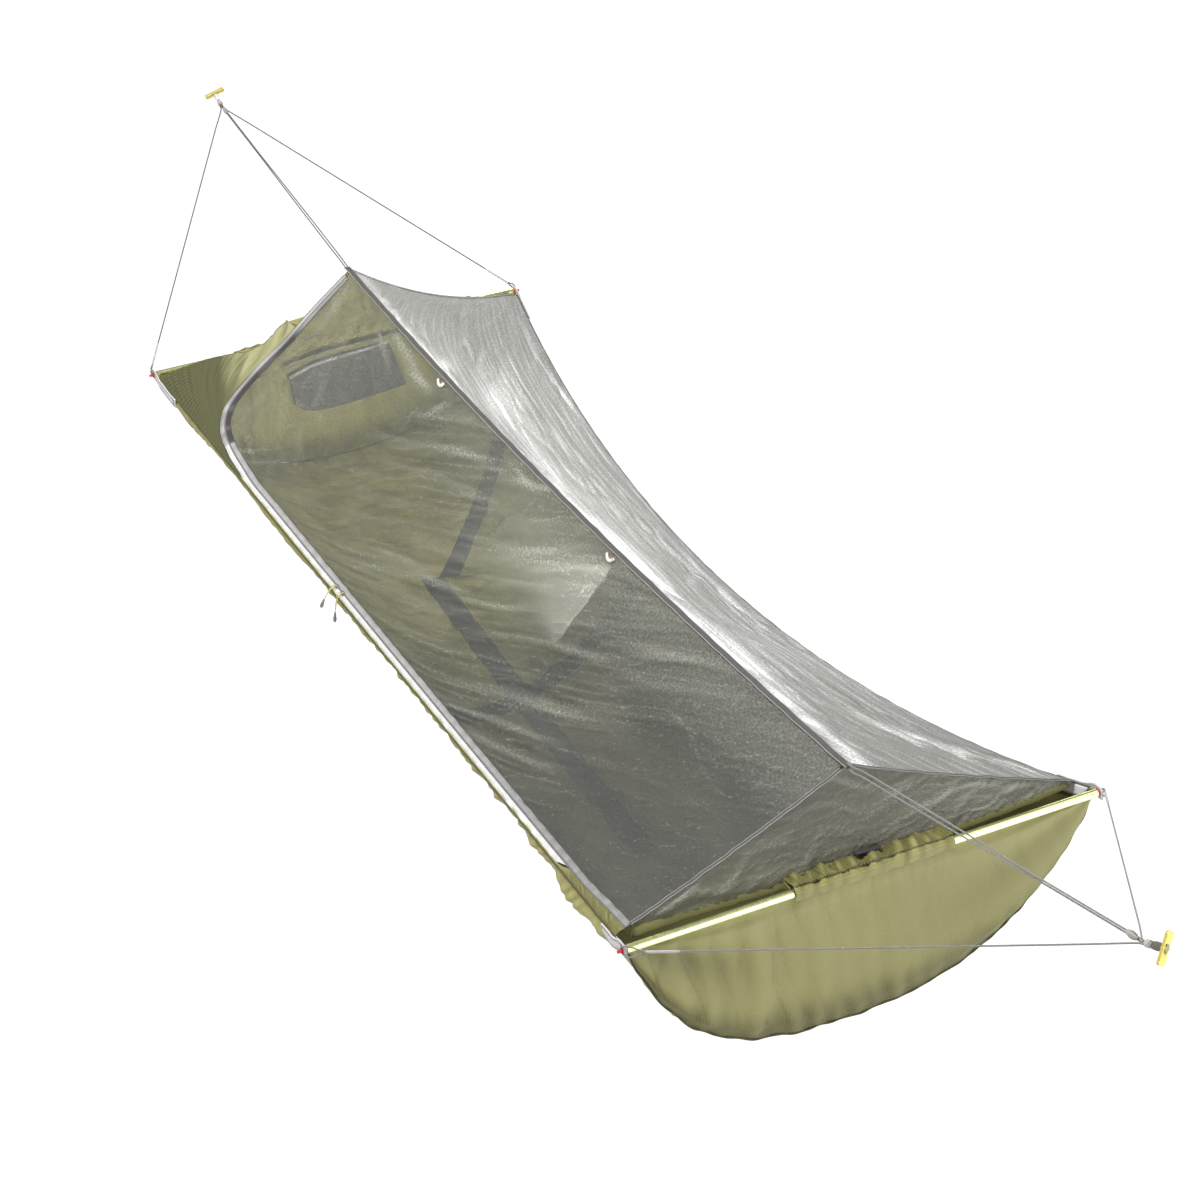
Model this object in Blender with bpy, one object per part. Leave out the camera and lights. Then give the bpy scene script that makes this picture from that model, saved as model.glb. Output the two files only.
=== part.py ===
"""Bridge hammock with two spreader poles and a zipped insect net.

Metres, +Z up.  The origin is the seat face of the head end's toggle bar, the face that bears
on a strap's loop.  +X runs along the hammock to the foot end, and -Y is the side of the zip.
Points are worked out in the body's own frame, whose origin is midway between the spreader
poles on the height of their axes, and every object is then placed at BODY_ORIGIN.
"""
import math

import bmesh
import bpy
from mathutils import Matrix, Vector

# ---- suspended body: a trough between two D-shaped end walls --------------------------------
BODY_END_X = 1.190          # half length of the trough
EDGE_HALF_WIDTH = 0.445     # top edge's distance from the centre line, at the ends
EDGE_BOW = 0.087            # how far the top edge bows inwards at mid length
EDGE_SAG = 0.163            # how far the top edge hangs down at mid length
END_DEPTH = 0.305           # trough depth below its top edge, at the ends
MID_DEPTH = 0.190           # and at mid length
NEAR_BELLY = 0.028          # how far the cloth bellies out of its circular section, near side
FAR_BELLY = 0.006           # and far side
CLOTH = 0.0012              # thickness given to every cloth solid
GAP = 0.0004                # clearance between two pieces that touch
TAPE = 0.0010               # thickness given to every tape and band solid
EDGE_TAPE_WIDTH = 0.024     # load tape inside each top edge
EDGE_TAPE_INSET = 0.0030    # how far inside the trough's cloth it lies
EDGE_TAPE_END_X = 1.180
BAND_INSET = 0.0030         # the floor bands lie this far inside the trough's cloth
CROSS_BAND_INSET = 0.0050   # and the one that crosses over the others
SPINE_BAND = ((-0.57, -0.050), (0.56, -0.098), 0.050)     # start, end, width
HEAD_BAND = ((-0.595, -0.002), (-0.945, 0.280), 0.040)
CROSS_BAND = ((0.02, -0.250), (-0.22, 0.270), 0.045)
POCKET_Y = (-0.140, 0.150)
POCKET_Z = (-0.178, -0.046)
POCKET_DEPTH = 0.011
POCKET_WALL = 0.0014

# ---- spreader poles --------------------------------------------------------------------------
POLE_X = 1.204
POLE_R = 0.0075
POLE_BORE_R = 0.0066
POLE_END_Y = 0.4434
FERRULE_R = 0.0062
FERRULE_BORE_R = 0.0052
FERRULE_LENGTH = 0.120
SHOCK_CORD_R = 0.0016
TIP_SHOULDER_Y = 0.4438
TIP_SHOULDER_END_Y = 0.4466
TIP_PLUG_LENGTH = 0.020
TIP_PIN_R = 0.0030
TIP_PIN_END_Y = 0.4600
HEAD_SLEEVE_Y = (-0.255, 0.330)
FOOT_SLEEVE_Y = (-0.143, 0.157)
SLEEVE_R = 0.0094
TAB_Y = (-0.012, 0.034)
TAB_HEIGHT = 0.012
TAB_THICKNESS = 0.002

# ---- corner straps and their eyes ------------------------------------------------------------
STRAP_WIDTH = 0.022
STRAP_THICKNESS = 0.0024
STRAP_Y = 0.4483            # middle of the strap's thickness at the pole tip
STRAP_LENGTH = 0.125
STRAP_EYE_R = 0.0035
STRAP_OVERHANG = 0.013      # strap's end beyond the pole's axis

# ---- insect net --------------------------------------------------------------------------------
RIDGE_HEAD = Vector((-1.097, 0.0, 0.199))
RIDGE_FOOT = Vector((1.129, 0.0, 0.159))
RIDGE_SAG = 0.038
RIDGE_WIDTH = 0.010
RIDGE_THICKNESS = 0.003
HEAD_CORNER = Vector((-1.184, 0.440, 0.002))
FOOT_CORNER = Vector((1.160, 0.421, 0.006))
HEAD_HIP_SAG = 0.035
# Drop of the gusset's free edge below the straight line from the near corner to the ridge's head point
HEAD_GUSSET_EDGE = [(0.0, 0.0), (0.127, 0.0105), (0.278, 0.0284), (0.411, 0.0516), (0.493, 0.0630),
                    (0.57, 0.0568), (0.665, 0.0375)]
HEAD_PANEL_SHIFT = Vector((-0.0060, 0.0, -0.0060))   # head panel's near border, behind the gusset and zip
FOOT_HIP_SAG = 0.005
NET_SAG = 0.024
HIP_BINDING_R = 0.0035
RIDGE_EYE_R = 0.0019        # hole at each end of the ridge tape, for the ridge cord
BESIDE_RIDGE = 0.0062       # a net panel's border, beside the ridge's middle line
BELOW_RIDGE = 0.0035        # and below it
BESIDE_HIP = Vector((0.0060, 0.0, 0.0015))   # a side net's border, inside the hip line
NET_FOOT_LOW = (0.045, 0.03)                 # foot net's bottom edge up the hips: at the corners, midway
NET_FOOT_DROP = 0.012                        # how far that edge hangs out and down midway
HEAD_PANEL_LOW = (0.04, 0.04)
PANEL_CLEARANCE = 0.0060                     # between an end panel and each hip line

# ---- zip: it runs on a circular arc beside the near top edge, then turns up to the ridge -----
TAPE_WIDTH = 0.0115         # each of the two tapes
TAPE_SPLIT = 0.0018         # gap between the tapes, where the sliders' posts run
ZIP_OFFSET = 0.0140         # zip's middle line above the top edge
ZIP_ARC_X = (-0.76, 0.96)   # stretch that is a true arc
ZIP_TURN = [(0.0085, 0.970), (0.0175, 0.790), (0.033, 0.594), (0.048, 0.397), (0.067, 0.226),
            (0.084, 0.140), (0.103, 0.090), (0.128, 0.060), (0.155, 0.044)]
SLIDER_HEAD_X = -0.335
SLIDER_FOOT_X = -0.305
SLIDER_SIZE = (0.012, 0.009)
SLIDER_OUTER_PLATE = 0.0022
SLIDER_INNER_PLATE = 0.0016
SLIDER_POST = (0.0034, 0.0009)
SLIDER_BEVEL = 0.0010
PULL_CORD_R = 0.0011
PULL_TIP = 2.4              # the moulded tip's radius over the cord's
PULL_HEAD_OUTER = [(0.0, 0.0, 0.0), (-0.001, -0.006, 0.0005), (-0.003, -0.016, -0.010),
                   (-0.005, -0.028, -0.028), (-0.006, -0.036, -0.045)]
PULL_FOOT_OUTER = [(0.0, 0.0, 0.0), (0.001, -0.006, 0.000), (0.000, -0.014, -0.016),
                   (-0.001, -0.019, -0.040), (-0.002, -0.022, -0.064)]
PULL_HEAD_INNER = [(0.0, 0.0, 0.0), (-0.001, 0.007, -0.007), (-0.002, 0.017, -0.019),
                   (-0.002, 0.026, -0.032), (-0.002, 0.036, -0.045)]
PULL_FOOT_INNER = [(0.0, 0.0, 0.0), (0.001, 0.007, -0.008), (0.003, 0.017, -0.020),
                   (0.004, 0.028, -0.034), (0.004, 0.039, -0.049)]

# ---- suspension ----------------------------------------------------------------------------------
CORD_R = 0.0015
CORD_EYE_SIDE = [(0.0046, 0.0030), (0.0032, 0.0075), (0.0019, 0.0110)]   # across and along the cord
CORD_EYE_END = [(0.0006, 0.0145), (0.0, 0.0180)]
CORD_AT_KNOT = (0.0034, 0.0012)   # beside and below the knot's middle
SPLICE_R = 0.0023
RIDGE_CORD_R = 0.0015
# Half gap between the doubled ridge cord's legs, at shares of the run from the knot to the eye
RIDGE_CORD_LEGS = [(0.0, 0.0024), (0.06, 0.0024), (0.24, 0.0024), (0.35, 0.0026), (0.50, 0.0040),
                   (0.70, 0.0052), (0.85, 0.0056), (0.94, 0.0054)]
HEAD_KNOT = Vector((-1.9417, 0.0, 0.3267))
FOOT_KNOT = Vector((1.9396, 0.0, 0.3429))
HEAD_PULL_ANGLE = math.radians(22.0)
FOOT_PULL_ANGLE = math.radians(24.5)
KNOT_R = 0.0055
KNOT_LENGTH = 0.014
KNOT_TO_TOGGLE = 0.0386
TOGGLE_SIZE = (0.050, 0.0115, 0.007)
TOGGLE_HOLE_R = 0.0019
TOGGLE_HOLE_HALF_PITCH = 0.0050
TOGGLE_CORNER_R = 0.0035
LOOP_CORD_R = 0.0013
LOOP_AT_KNOT = 0.0027       # half the spread of the loop's legs at the knot
HOOK_R = 0.0016
HOOK_ROUTE = [(0.0, 0.0, 0.0), (0.0, 0.0, -0.006), (0.0, 0.001, -0.013), (0.0, -0.002, -0.019),
              (0.0, -0.008, -0.020), (0.0, -0.011, -0.015)]
HEAD_HOOK_SHARE = 0.25      # where the hooks hang, as shares of the ridge
FOOT_HOOK_SHARE = 0.615
HEAD_TOGGLE_ROLL = math.radians(21.0)
FOOT_TOGGLE_ROLL = math.radians(57.0)
ADJUSTER_SIZE = (0.028, 0.0080, 0.0105)
ADJUSTER_START = 0.017      # distance from the knot's face



def pull_direction(end):
    """Unit vector along which a strap pulls the end's toggle; end is -1 at the head, 1 at the foot."""
    angle = HEAD_PULL_ANGLE if end < 0 else FOOT_PULL_ANGLE
    return Vector((end * math.cos(angle), 0.0, math.sin(angle)))


# The head toggle's seat face, in the body's own frame, becomes the world's origin.
BODY_ORIGIN = -(HEAD_KNOT + pull_direction(-1) * (KNOT_TO_TOGGLE - TOGGLE_SIZE[2] / 2))

COLOURS = {
    "body_cloth": ((0.30, 0.30, 0.13, 1.0), 0.75, 0.0),
    "net_mesh": ((0.35, 0.35, 0.34, 1.0), 0.80, 0.0),
    "grey_webbing": ((0.52, 0.51, 0.52, 1.0), 0.75, 0.0),
    "dark_binding": ((0.11, 0.11, 0.105, 1.0), 0.80, 0.0),
    "zip_tape": ((0.60, 0.58, 0.58, 1.0), 0.70, 0.0),
    "lime_anodised": ((0.62, 0.66, 0.12, 1.0), 0.25, 0.9),
    "gold_anodised": ((0.78, 0.70, 0.18, 1.0), 0.28, 0.9),
    "grey_cord": ((0.38, 0.38, 0.37, 1.0), 0.80, 0.0),
    "lime_cord": ((0.66, 0.70, 0.22, 1.0), 0.75, 0.0),
    "steel": ((0.55, 0.55, 0.55, 1.0), 0.35, 1.0),
    "red_plastic": ((0.70, 0.04, 0.05, 1.0), 0.40, 0.0),
    "pale_plastic": ((0.78, 0.70, 0.68, 1.0), 0.45, 0.0),
    "black_webbing": ((0.03, 0.03, 0.03, 1.0), 0.80, 0.0),
}


# ---- scene, materials and objects --------------------------------------------------------------
def clear_scene():
    for obj in list(bpy.data.objects):
        bpy.data.objects.remove(obj, do_unlink=True)


def material(name):
    found = bpy.data.materials.get(name)
    if found:
        return found
    colour, roughness, metallic = COLOURS[name]
    made = bpy.data.materials.new(name)
    made.use_nodes = True
    shader = made.node_tree.nodes["Principled BSDF"]
    shader.inputs["Base Color"].default_value = colour
    shader.inputs["Roughness"].default_value = roughness
    shader.inputs["Metallic"].default_value = metallic
    return made


def add_object(name, data, slot, pivot=Vector((0.0, 0.0, 0.0))):
    obj = bpy.data.objects.new(name, data)
    obj.location = BODY_ORIGIN + pivot
    if slot:
        own = material(slot).copy()
        own.name = name + "_" + slot
        data.materials.append(own)
    bpy.context.scene.collection.objects.link(obj)
    return obj


def add_mesh(name, bm, slot, pivot=Vector((0.0, 0.0, 0.0)), smooth=True):
    """Turns a bmesh in the body's frame into an object whose origin is the pivot."""
    bmesh.ops.translate(bm, verts=bm.verts, vec=-pivot)
    bmesh.ops.recalc_face_normals(bm, faces=bm.faces)
    mesh = bpy.data.meshes.new(name)
    bm.to_mesh(mesh)
    bm.free()
    if smooth:
        mesh.shade_smooth()
        mesh.set_sharp_from_angle(angle=math.radians(40.0))
    return add_object(name, mesh, slot, pivot)


def cut(obj, cutter):
    modifier = obj.modifiers.new("cut_" + cutter.name, "BOOLEAN")
    modifier.operation = "DIFFERENCE"
    modifier.solver = "EXACT"
    modifier.object = cutter
    cutter.hide_render = True
    cutter.display_type = "WIRE"


# ---- curves ----------------------------------------------------------------------------------------
def lerp(a, b, t):
    return a + (b - a) * t


def polyline_at(points, t):
    """Point at the fraction t of a polyline's length."""
    lengths = [(points[i + 1] - points[i]).length for i in range(len(points) - 1)]
    wanted = max(0.0, min(1.0, t)) * sum(lengths)
    for i, length in enumerate(lengths):
        if wanted <= length or i == len(lengths) - 1:
            return lerp(points[i], points[i + 1], wanted / length if length else 0.0)
        wanted -= length
    return points[-1]


def smooth_line(points, steps=12):
    """Centripetal Catmull-Rom curve through the points, as a fine polyline."""
    ends = [points[0] * 2 - points[1]] + list(points) + [points[-1] * 2 - points[-2]]
    line = []
    for i in range(1, len(ends) - 2):
        p0, p1, p2, p3 = ends[i - 1:i + 3]
        k1 = max((p1 - p0).length, 1e-9) ** 0.5
        k2 = k1 + max((p2 - p1).length, 1e-9) ** 0.5
        k3 = k2 + max((p3 - p2).length, 1e-9) ** 0.5
        for j in range(steps):
            t = lerp(k1, k2, j / steps)
            a1 = p0 * ((k1 - t) / k1) + p1 * (t / k1)
            a2 = p1 * ((k2 - t) / (k2 - k1)) + p2 * ((t - k1) / (k2 - k1))
            a3 = p2 * ((k3 - t) / (k3 - k2)) + p3 * ((t - k2) / (k3 - k2))
            b1 = a1 * ((k2 - t) / k2) + a2 * (t / k2)
            b2 = a2 * ((k3 - t) / (k3 - k1)) + a3 * ((t - k1) / (k3 - k1))
            line.append(b1 * ((k2 - t) / (k2 - k1)) + b2 * ((t - k1) / (k2 - k1)))
    line.append(points[-1].copy())
    return line


def frame_towards(axis, side):
    """Rotation whose local Z is the axis and whose local X is as near to side as it can be."""
    z = axis.normalized()
    x = (side - z * side.dot(z)).normalized()
    y = z.cross(x)
    return Matrix((x, y, z)).transposed().to_4x4()


# ---- solids ----------------------------------------------------------------------------------------
def grid_normals(rows):
    normals = []
    for i, row in enumerate(rows):
        line = []
        for j in range(len(row)):
            along = rows[min(i + 1, len(rows) - 1)][j] - rows[max(i - 1, 0)][j]
            across = row[min(j + 1, len(row) - 1)] - row[max(j - 1, 0)]
            line.append(along.cross(across).normalized())
        normals.append(line)
    return normals


def sheet_solid(rows, thickness=CLOTH):
    """Closed solid of the given thickness around a grid of points."""
    bm = bmesh.new()
    normals = grid_normals(rows)
    layers = []
    for side in (0.5, -0.5):
        layers.append([[bm.verts.new(p + n * (thickness * side)) for p, n in zip(row, nrow)]
                       for row, nrow in zip(rows, normals)])
    top, bottom = layers
    last_row = len(rows) - 1
    last_col = len(rows[0]) - 1
    for i in range(last_row):
        for j in range(last_col):
            bm.faces.new((top[i][j], top[i + 1][j], top[i + 1][j + 1], top[i][j + 1]))
            bm.faces.new((bottom[i][j], bottom[i][j + 1], bottom[i + 1][j + 1], bottom[i + 1][j]))
    for i in range(last_row):
        for j in (0, last_col):
            bm.faces.new((top[i][j], top[i + 1][j], bottom[i + 1][j], bottom[i][j]))
    for j in range(last_col):
        for i in (0, last_row):
            bm.faces.new((top[i][j], top[i][j + 1], bottom[i][j + 1], bottom[i][j]))
    return bm


def extruded(outline, thickness):
    """Prism of a flat outline in local XY, centred on local Z = 0."""
    bm = bmesh.new()
    low = [bm.verts.new((x, y, -thickness / 2)) for x, y in outline]
    high = [bm.verts.new((x, y, thickness / 2)) for x, y in outline]
    bm.faces.new(low)
    bm.faces.new(high)
    for i in range(len(outline)):
        j = (i + 1) % len(outline)
        bm.faces.new((low[i], low[j], high[j], high[i]))
    return bm


def turned(profile, segments=16):
    """Solid of revolution about local Z; a profile that starts and ends on the axis is a rod."""
    bm = bmesh.new()
    rings = []
    for r, z in profile:
        if r == 0.0:
            rings.append([bm.verts.new((0.0, 0.0, z))])
            continue
        angles = [2 * math.pi * k / segments for k in range(segments)]
        rings.append([bm.verts.new((r * math.cos(a), r * math.sin(a), z)) for a in angles])
    closed = profile[0][0] != 0.0
    pairs = list(zip(rings, rings[1:]))
    if closed:
        pairs.append((rings[-1], rings[0]))
    for lower, upper in pairs:
        for k in range(segments):
            n = (k + 1) % segments
            if len(lower) == 1:
                bm.faces.new((lower[0], upper[n], upper[k]))
            elif len(upper) == 1:
                bm.faces.new((lower[k], lower[n], upper[0]))
            else:
                bm.faces.new((lower[k], lower[n], upper[n], upper[k]))
    return bm


def placed(bm, position, rotation):
    bmesh.ops.transform(bm, matrix=Matrix.Translation(position) @ rotation, verts=bm.verts)
    return bm


def cord(name, points, radius, slot, pivot=Vector((0.0, 0.0, 0.0)), radii=None):
    """Tube of 8 sides along the points; radii are factors on the radius."""
    curve = bpy.data.curves.new(name, "CURVE")
    curve.dimensions = "3D"
    curve.bevel_depth = radius
    curve.bevel_resolution = 2
    curve.use_fill_caps = True
    spline = curve.splines.new("POLY")
    spline.points.add(len(points) - 1)
    for i, point in enumerate(points):
        spline.points[i].co = (*(point - pivot), 1.0)
        spline.points[i].radius = radii[i] if radii else 1.0
    return add_object(name, curve, slot, pivot)


# ---- shape of the body ---------------------------------------------------------------------------
EDGE_DROP = math.hypot(EDGE_BOW, EDGE_SAG)
EDGE_ARC_R = (BODY_END_X ** 2 + EDGE_DROP ** 2) / (2 * EDGE_DROP)
NEAR_DROP_DIR = Vector((0.0, EDGE_BOW, -EDGE_SAG)) / EDGE_DROP
ZIP_AXIS = Vector((0.0, EDGE_SAG, EDGE_BOW)) / EDGE_DROP
ZIP_CENTRE = Vector((0.0, -EDGE_HALF_WIDTH, 0.0)) - NEAR_DROP_DIR * (EDGE_ARC_R - EDGE_DROP)


def fall(x):
    """0 at the trough's ends to 1 at mid length, on a circular arc."""
    x = max(-BODY_END_X, min(BODY_END_X, x))
    return (math.sqrt(EDGE_ARC_R ** 2 - x * x) - (EDGE_ARC_R - EDGE_DROP)) / EDGE_DROP


def edge(x, side):
    """Top edge of the trough; side is -1 near the zip and +1 on the far side."""
    return Vector((x, side * (EDGE_HALF_WIDTH - EDGE_BOW * fall(x)), -EDGE_SAG * fall(x)))


def trough(x, across, outwards=0.0):
    """Point of the trough's bellied circular section; across runs from -1 to 1 between the edges."""
    half = EDGE_HALF_WIDTH - EDGE_BOW * fall(x)
    depth = lerp(END_DEPTH, MID_DEPTH, fall(x))
    radius = (half * half + depth * depth) / (2 * depth)
    angle = across * math.asin(half / radius)
    centre_z = -EDGE_SAG * fall(x) - depth + radius
    belly = (NEAR_BELLY if across < 0 else FAR_BELLY) * (1.0 - 0.4 * fall(x))
    reach = radius + outwards + belly * math.sin(math.pi * across) ** 2
    return Vector((x, reach * math.sin(angle), centre_z - reach * math.cos(angle)))


def across_at(x, y):
    """The across value of the trough's point with the given y."""
    half = EDGE_HALF_WIDTH - EDGE_BOW * fall(x)
    depth = lerp(END_DEPTH, MID_DEPTH, fall(x))
    radius = (half * half + depth * depth) / (2 * depth)
    return math.asin(y / radius) / math.asin(half / radius)


def steps(low, high, count):
    return [lerp(low, high, i / count) for i in range(count + 1)]


def make_body():
    rows = [[trough(x, a) for a in steps(-1.0, 1.0, 16)] for x in steps(-BODY_END_X, BODY_END_X, 22)]
    add_mesh("body_fabric", sheet_solid(rows), "body_cloth")


def make_end_wall(name, side):
    outline = [trough(BODY_END_X, a, CLOTH / 2) for a in steps(-1.0, 1.0, 24)]
    bm = extruded([(p.y, p.z) for p in outline], CLOTH)
    middle = Vector((side * (BODY_END_X + GAP + CLOTH / 2), 0.0, 0.0))
    turn = Matrix(((0, 0, 1, 0), (1, 0, 0, 0), (0, 1, 0, 0), (0, 0, 0, 1)))
    add_mesh(name, placed(bm, middle, turn), "body_cloth", smooth=False)


def make_edge_webbing(name, side):
    """Load-bearing tape along the inside of a top edge."""
    rows = []
    for x in steps(-EDGE_TAPE_END_X, EDGE_TAPE_END_X, 22):
        radius = (edge(x, side) - trough(x, 0.0)).length
        share = EDGE_TAPE_WIDTH / max(radius, 0.3)
        line = [trough(x, side * a, -EDGE_TAPE_INSET) for a in (0.996, 0.996 - share)]
        rows.append(line)
    add_mesh(name, sheet_solid(rows, TAPE), "grey_webbing")


def make_band(name, start, end, width, count, outwards):
    """Straight strip on the trough's floor from one (x, y) to another."""
    direction = Vector((end[0] - start[0], end[1] - start[1])).normalized()
    normal = Vector((-direction.y, direction.x))
    rows = []
    for t in steps(0.0, 1.0, count):
        middle = lerp(Vector(start), Vector(end), t)
        line = []
        for offset in steps(-width / 2, width / 2, 2):
            x, y = middle + normal * offset
            line.append(trough(x, across_at(x, y), outwards))
        rows.append(line)
    add_mesh(name, sheet_solid(rows, TAPE), "dark_binding")


def make_head_pocket():
    """Open-topped pocket on the inside of the head end wall."""
    wall_x = -BODY_END_X - GAP
    low = Vector((wall_x + GAP + 0.0002, POCKET_Y[0], POCKET_Z[0]))
    high = Vector((wall_x + POCKET_DEPTH, POCKET_Y[1], POCKET_Z[1]))
    wall = POCKET_WALL
    bm = bmesh.new()
    bmesh.ops.create_cube(bm, size=1.0)
    bmesh.ops.scale(bm, vec=high - low, verts=bm.verts)
    bmesh.ops.translate(bm, vec=(high + low) / 2, verts=bm.verts)
    pocket = add_mesh("head_pocket", bm, "net_mesh", smooth=False)
    inner_low = low + Vector((-0.01, wall, wall))
    inner_high = high + Vector((-wall, -wall, 0.01))
    bm = bmesh.new()
    bmesh.ops.create_cube(bm, size=1.0)
    bmesh.ops.scale(bm, vec=inner_high - inner_low, verts=bm.verts)
    bmesh.ops.translate(bm, vec=(inner_high + inner_low) / 2, verts=bm.verts)
    cut(pocket, add_mesh("pocket_cutter", bm, None, smooth=False))


# ---- insect net ------------------------------------------------------------------------------------
def ridge(t):
    """Ridge line from the head point, t = 0, to the foot point, t = 1."""
    point = lerp(RIDGE_HEAD, RIDGE_FOOT, t)
    return point - Vector((0.0, 0.0, RIDGE_SAG * 4 * t * (1 - t)))


def net_point(u, s, side):
    """Point between the top edge, s = 0, and the ridge, s = 1; u runs from head to foot."""
    low = edge(lerp(-BODY_END_X, BODY_END_X, u), side)
    sag = lerp(HEAD_HIP_SAG, NET_SAG, min(1.0, u * 4))
    return lerp(low, ridge(u), s) - Vector((0.0, 0.0, sag * 4 * s * (1 - s)))


def hip(end, side, s):
    """Slanting seam from a corner, s = 0, up to the ridge's end, s = 1."""
    if end < 0:
        corner, top, sag = HEAD_CORNER, RIDGE_HEAD, HEAD_HIP_SAG
    else:
        corner, top, sag = FOOT_CORNER, RIDGE_FOOT, FOOT_HIP_SAG
    low = Vector((corner.x, side * corner.y, corner.z))
    return lerp(low, top, s) - Vector((0.0, 0.0, sag * 4 * s * (1 - s)))


def net_normal(u, s, side):
    small = 0.01
    along = net_point(u + small, s, side) - net_point(u - small, s, side)
    across = net_point(u, s + small, side) - net_point(u, s - small, side)
    normal = along.cross(across).normalized()
    return normal if normal.z > 0 else -normal


def zip_line():
    """Middle line of the zip with the outward normal at each point, from ridge to foot corner."""
    line = [(net_point(u, s, -1), net_normal(u, s, -1)) for u, s in ZIP_TURN]
    for x in steps(ZIP_ARC_X[0], ZIP_ARC_X[1], 17):
        inwards = edge(x, -1)
        radial = (inwards - ZIP_CENTRE).normalized()
        line.append((inwards + ZIP_AXIS * ZIP_OFFSET, -radial))
    last_normal = line[-1][1]
    line.append((edge(1.06, -1) + ZIP_AXIS * 0.0185, last_normal))
    corner = Vector((FOOT_CORNER.x, -FOOT_CORNER.y, FOOT_CORNER.z))
    line.append((corner - Vector((0.006, 0.0, 0.006)), last_normal))
    points = smooth_line([p for p, _ in line], 2)
    normals = smooth_line([n for _, n in line], 2)
    return [(p, n.normalized()) for p, n in zip(points, normals)]


def zip_side(line, offset):
    """Line beside the zip's middle; a positive offset is towards the net door."""
    made = []
    for i, (point, normal) in enumerate(line):
        along = line[min(i + 1, len(line) - 1)][0] - line[max(i - 1, 0)][0]
        made.append(point + normal.cross(along).normalized() * offset)
    return made


def coons(bottom, top, left, right, count_a, count_b, sag=0.0):
    """Surface between four lines; bottom and top run from left to right."""
    rows = []
    for a in steps(0.0, 1.0, count_a):
        row = []
        for b in steps(0.0, 1.0, count_b):
            flat = (lerp(polyline_at(bottom, a), polyline_at(top, a), b)
                    + lerp(polyline_at(left, b), polyline_at(right, b), a)
                    - lerp(lerp(bottom[0], bottom[-1], a), lerp(top[0], top[-1], a), b))
            drop = sag * 16 * a * (1 - a) * b * (1 - b)
            row.append(flat - Vector((0.0, 0.0, drop)))
        rows.append(row)
    return rows


def hip_line(end, side, low=0.0, high=1.0, count=14):
    return [hip(end, side, s) for s in steps(low, high, count)]


def make_net_door(line):
    """Near side net between the zip, the ridge and the foot hip."""
    border = zip_side(line, TAPE_SPLIT / 2 + TAPE_WIDTH + 0.0015)
    first = next(i for i, p in enumerate(border) if p.y < -0.045)
    turn = next(i for i, p in enumerate(border) if p.x > -0.93 and p.z < 0.0)
    top = [ridge(t) + Vector((0.0, -BESIDE_RIDGE, -BELOW_RIDGE)) for t in steps(0.030, 0.992, 20)]
    left = list(reversed(border[first:turn + 1])) + [top[0]]
    bottom = border[turn:]
    right = [p + Vector((-BESIDE_HIP.x, 0.0, BESIDE_HIP.z)) for p in hip_line(1, -1, 0.03, 0.98)]
    right[0] = bottom[-1].copy()
    right[-1] = top[-1].copy()
    add_mesh("net_door", sheet_solid(coons(bottom, top, left, right, 22, 7, NET_SAG)), "net_mesh")


def make_net_far():
    """Far side net between the top edge, the ridge and both hips."""
    bottom = [edge(x, 1) + Vector((0.0, -0.0028, 0.0016)) for x in steps(-1.165, 1.135, 26)]
    top = [ridge(t) + Vector((0.0, BESIDE_RIDGE, -BELOW_RIDGE)) for t in steps(0.008, 0.992, 20)]
    left = [p + BESIDE_HIP for p in hip_line(-1, 1, 0.02, 0.98)]
    right = [p + Vector((-BESIDE_HIP.x, 0.0, BESIDE_HIP.z)) for p in hip_line(1, 1, 0.02, 0.98)]
    left[0], left[-1] = bottom[0].copy(), top[0].copy()
    right[0], right[-1] = bottom[-1].copy(), top[-1].copy()
    add_mesh("net_far", sheet_solid(coons(bottom, top, left, right, 22, 7, NET_SAG)), "net_mesh")


def head_panel_rim(line):
    """Near border of the head panel: behind the gusset's free edge, and then behind the zip."""
    near_corner = Vector((HEAD_CORNER.x, -HEAD_CORNER.y, HEAD_CORNER.z))
    border = zip_side(line, -(TAPE_SPLIT / 2 + TAPE_WIDTH))
    rim = [lerp(near_corner, RIDGE_HEAD, s) - Vector((0.0, 0.0, sag)) for s, sag in HEAD_GUSSET_EDGE]
    rim += [p.copy() for p in reversed(border) if p.x < ZIP_ARC_X[0] and p.z > rim[-1].z + 0.004]
    return [p + HEAD_PANEL_SHIFT for p in rim]


def make_end_panel(name, end, slot, bottom_low, bottom_mid, bottom_drop=0.0, near_rim=None):
    """Three-cornered panel between the two hips of an end; its bottom edge may hang lower and out."""
    rows = []
    outwards = Vector((0.0035 if end > 0 else -0.0035, 0.0, 0.0))
    for v in steps(0.0, 1.0, 12):
        start = lerp(bottom_low, bottom_mid, math.sin(math.pi * v))
        row = []
        for s in steps(start, 0.95, 5):
            near = polyline_at(near_rim, s) if near_rim else hip(end, -1, s)
            far = hip(end, 1, s)
            shrink = PANEL_CLEARANCE / max((far - near).length, 0.02)
            hang = bottom_drop * math.sin(math.pi * v) ** 0.5 * (1 - (s - start) / (0.95 - start)) ** 1.5
            slack = Vector((hang * end, 0.0, -hang))
            row.append(lerp(near, far, lerp(shrink, 1 - shrink, v)) + outwards + slack)
        rows.append(row)
    add_mesh(name, sheet_solid(rows), slot)


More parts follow.
